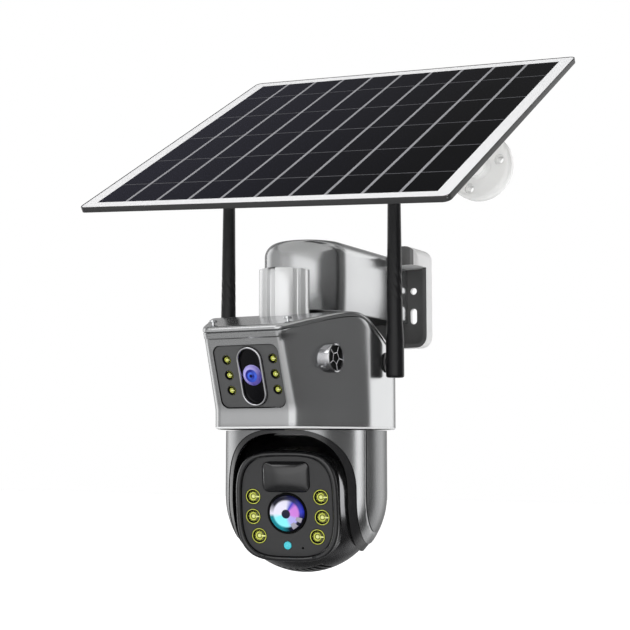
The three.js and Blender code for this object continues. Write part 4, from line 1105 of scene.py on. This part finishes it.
# ---- CAD pieces that keep their shape ----
def dress_frame():
    """Each finish, how wide its edges are rounded, and the pieces that have it."""
    finishes = [
        # The wall plate's darker front is painted shade.
        (plate_shaded_material(), 0.8, "wall_plate"),
        (BLACK, 0.2, "antenna_socket_left antenna_socket_right"),
        (BLACK, 0.3, "arm_bottom_cover neck_post pan_base_plate"),
        (BLACK, 0.6, "clamp_knob"),
        (BLACK, 1.2, "junction_box"),
        (BLACK_AND_PAINTED_SHADE, 0, "fixed_leds_left fixed_leds_right head_leds_left head_leds_right"),
        (BOARD, 0, "main_board sensor_board"),
        (NYLON, 0, "pan_gear tilt_gear"),
        (RUBBER, 0, "roof_gasket"),
        (RUBBER, 0.4, "reset_button"),
        (RUBBER, 0.6, "charge_port_cap"),
        (STEEL, 0, "pan_pinion tilt_pinion"),
        (STEEL, 0.3, "roof_screw_1 roof_screw_2 roof_screw_3 roof_screw_4"),
        (STEEL, 0.5, "pan_motor tilt_motor"),
        (CELL_WRAP, 0.6, "battery_cell_1 battery_cell_2 battery_cell_3"),
        (WHITE, 0, "panel_backsheet"),
        (WHITE, 0.5, "panel_foot"),
        (WHITE, 0.6, "panel_arm")]
    for material, width, names in finishes:
        for name in names.split():
            dress_node(frame["nodes"][name], material, width)


def dress_node(node, material, width):
    if not node.material_slots:
        node.data.materials.append(material)
    for place in node.material_slots:
        place.link = "OBJECT"
        place.material = material
    if width:
        bevel(node, width, 2)


# ---- Stage ----
def build_stage():
    floor = make_mesh("floor", [(-6000, -6000, -420), (6000, -6000, -420), (6000, 6000, -420),
                                (-6000, 6000, -420)], [(0, 1, 2, 3)])
    material, tree, shader = new_material("floor_pale")
    feed(tree, shader, {"Base Color": (0.9, 0.9, 0.9, 1), "Roughness": 0.9,
                        "Emission Color": (1, 1, 1, 1), "Emission Strength": 0.45})
    dress(floor, material)
    floor.visible_glossy = False


def build_world():
    """Camera rays see plain white; reflections see a studio of light and dark panels."""
    world = bpy.data.worlds.new("studio")
    bpy.context.scene.world = world
    world.use_nodes = True
    tree = world.node_tree
    tree.nodes.clear()
    split = add_node(tree, "SeparateXYZ",
                     {"Vector": add_node(tree, "TexCoord").outputs["Generated"]})
    height = split.outputs["Z"]
    ahead = add_node(tree, "Math", {0: split.outputs["Y"], 1: -1}, operation="MULTIPLY")
    azimuth = add_node(tree, "Math", {0: split.outputs["X"], 1: ahead.outputs["Value"]},
                       operation="ARCTAN2")
    tones = [(-180, 0.42), (-140, 0.42), (-122, 0.5), (-114, 1.5), (-96, 1.3), (-82, 0.5),
             (-55, 0.6), (-40, 0.8), (-22, 0.8), (-5, 1.5), (46, 1.6), (60, 0.2),
             (138, 0.15), (149, 1.6), (166, 1.6), (180, 0.42)]
    panels = color_ramp(tree, map_range(tree, azimuth.outputs["Value"], -math.pi, math.pi),
                        [((degrees + 180) / 360, (tone,) * 3) for degrees, tone in tones])
    falls = [(-1, 0.1), (-0.75, 0.15), (-0.55, 0.5), (-0.3, 0.75), (-0.1, 1), (0.4, 1),
             (0.58, 0.3), (0.86, 0.3), (0.93, 1)]
    levels = color_ramp(tree, map_range(tree, height, -1, 1),
                        [((z + 1) / 2, (tone,) * 3) for z, tone in falls])
    walls = mix_colors(tree, 1, panels, levels, "MULTIPLY")
    sky = mix_colors(tree, map_range(tree, height, 0.86, 0.94, "SMOOTHSTEP"), walls,
                     (2.4, 2.4, 2.4, 1))
    rays = add_node(tree, "LightPath").outputs["Is Camera Ray"]
    background = add_node(tree, "Background",
                          {"Color": mix_colors(tree, rays, sky, (1, 1, 1, 1))})
    output = tree.nodes.new("ShaderNodeOutputWorld")
    feed(tree, output, {"Surface": background.outputs["Background"]})


def add_light(name, power, size, at, toward):
    light = bpy.data.lights.new(name, "AREA")
    light.shape = "RECTANGLE"
    light.energy = power
    light.size, light.size_y = size
    lamp_object = bpy.data.objects.new(name, light)
    bpy.context.scene.collection.objects.link(lamp_object)
    lamp_object.location = at
    lamp_object.rotation_euler = (Vector(toward) - Vector(at)).to_track_quat("-Z", "Y").to_euler()
    return lamp_object


def light_only(lamp_object, names):
    """The lamp reaches only the pieces whose names start like one of these."""
    chosen = bpy.data.collections.new(lamp_object.name + "_receivers")
    for thing in bpy.context.scene.objects:
        if thing.type == "MESH" and thing.name.startswith(names):
            chosen.objects.link(thing)
    lamp_object.light_linking.receiver_collection = chosen


def build_camera():
    """The photograph's view: 30 degrees to the right of the front, looking slightly up."""
    azimuth, rise = math.radians(30), math.radians(5.82)
    look = Vector((-math.sin(azimuth) * math.cos(rise), math.cos(azimuth) * math.cos(rise),
                   math.sin(rise)))
    data = bpy.data.cameras.new("camera")
    data.sensor_width = 36
    data.lens = 72.86
    data.clip_start = 0.01
    camera = bpy.data.objects.new("camera", data)
    bpy.context.scene.collection.objects.link(camera)
    camera.location = (0.40666, -0.78873, -0.09903)
    camera.rotation_euler = look.to_track_quat("-Z", "Y").to_euler()
    bpy.context.scene.camera = camera


build_camera()
build_world()
build_stage()
add_light("key", 5, (0.9, 0.9), (-0.6, -1.3, 1.3), (0, -0.1, -0.05))
bpy.context.scene.view_settings.view_transform = "Standard"

build_shell()
build_roof()
build_arm()
build_neck()
build_window()
build_fixed_eye()
build_fixed_lamps()
build_speaker()
build_yoke_shell()
build_cheeks()
build_trim()
build_covers()
build_ball()
build_face()
build_pir()
build_main_lens()
build_head_lamps()
build_aerial("left", *AERIAL_LEFT)
build_aerial("right", *AERIAL_RIGHT)
build_panel()
build_base()
dress_frame()
strip = add_light("ball_strip", 3.2, (0.38, 1.0), (0.9, -0.23, -0.1), (0, -0.13, -0.1))
light_only(strip, ("ball_skin",))
band = add_light("yoke_strip", 1.6, (0.2, 1.0), (0.85, 0.17, -0.1), (0, -0.13, -0.1))
light_only(band, ("yoke_skin", "cover_skin"))
glint = add_light("glass_strip", 1.1, (0.12, 0.5), (-0.85, -0.36, -0.05), (0, -0.14, -0.1))
light_only(glint, ("pir_skin", "lens_dome", "ring_skin", "fixed_lens_skin"))
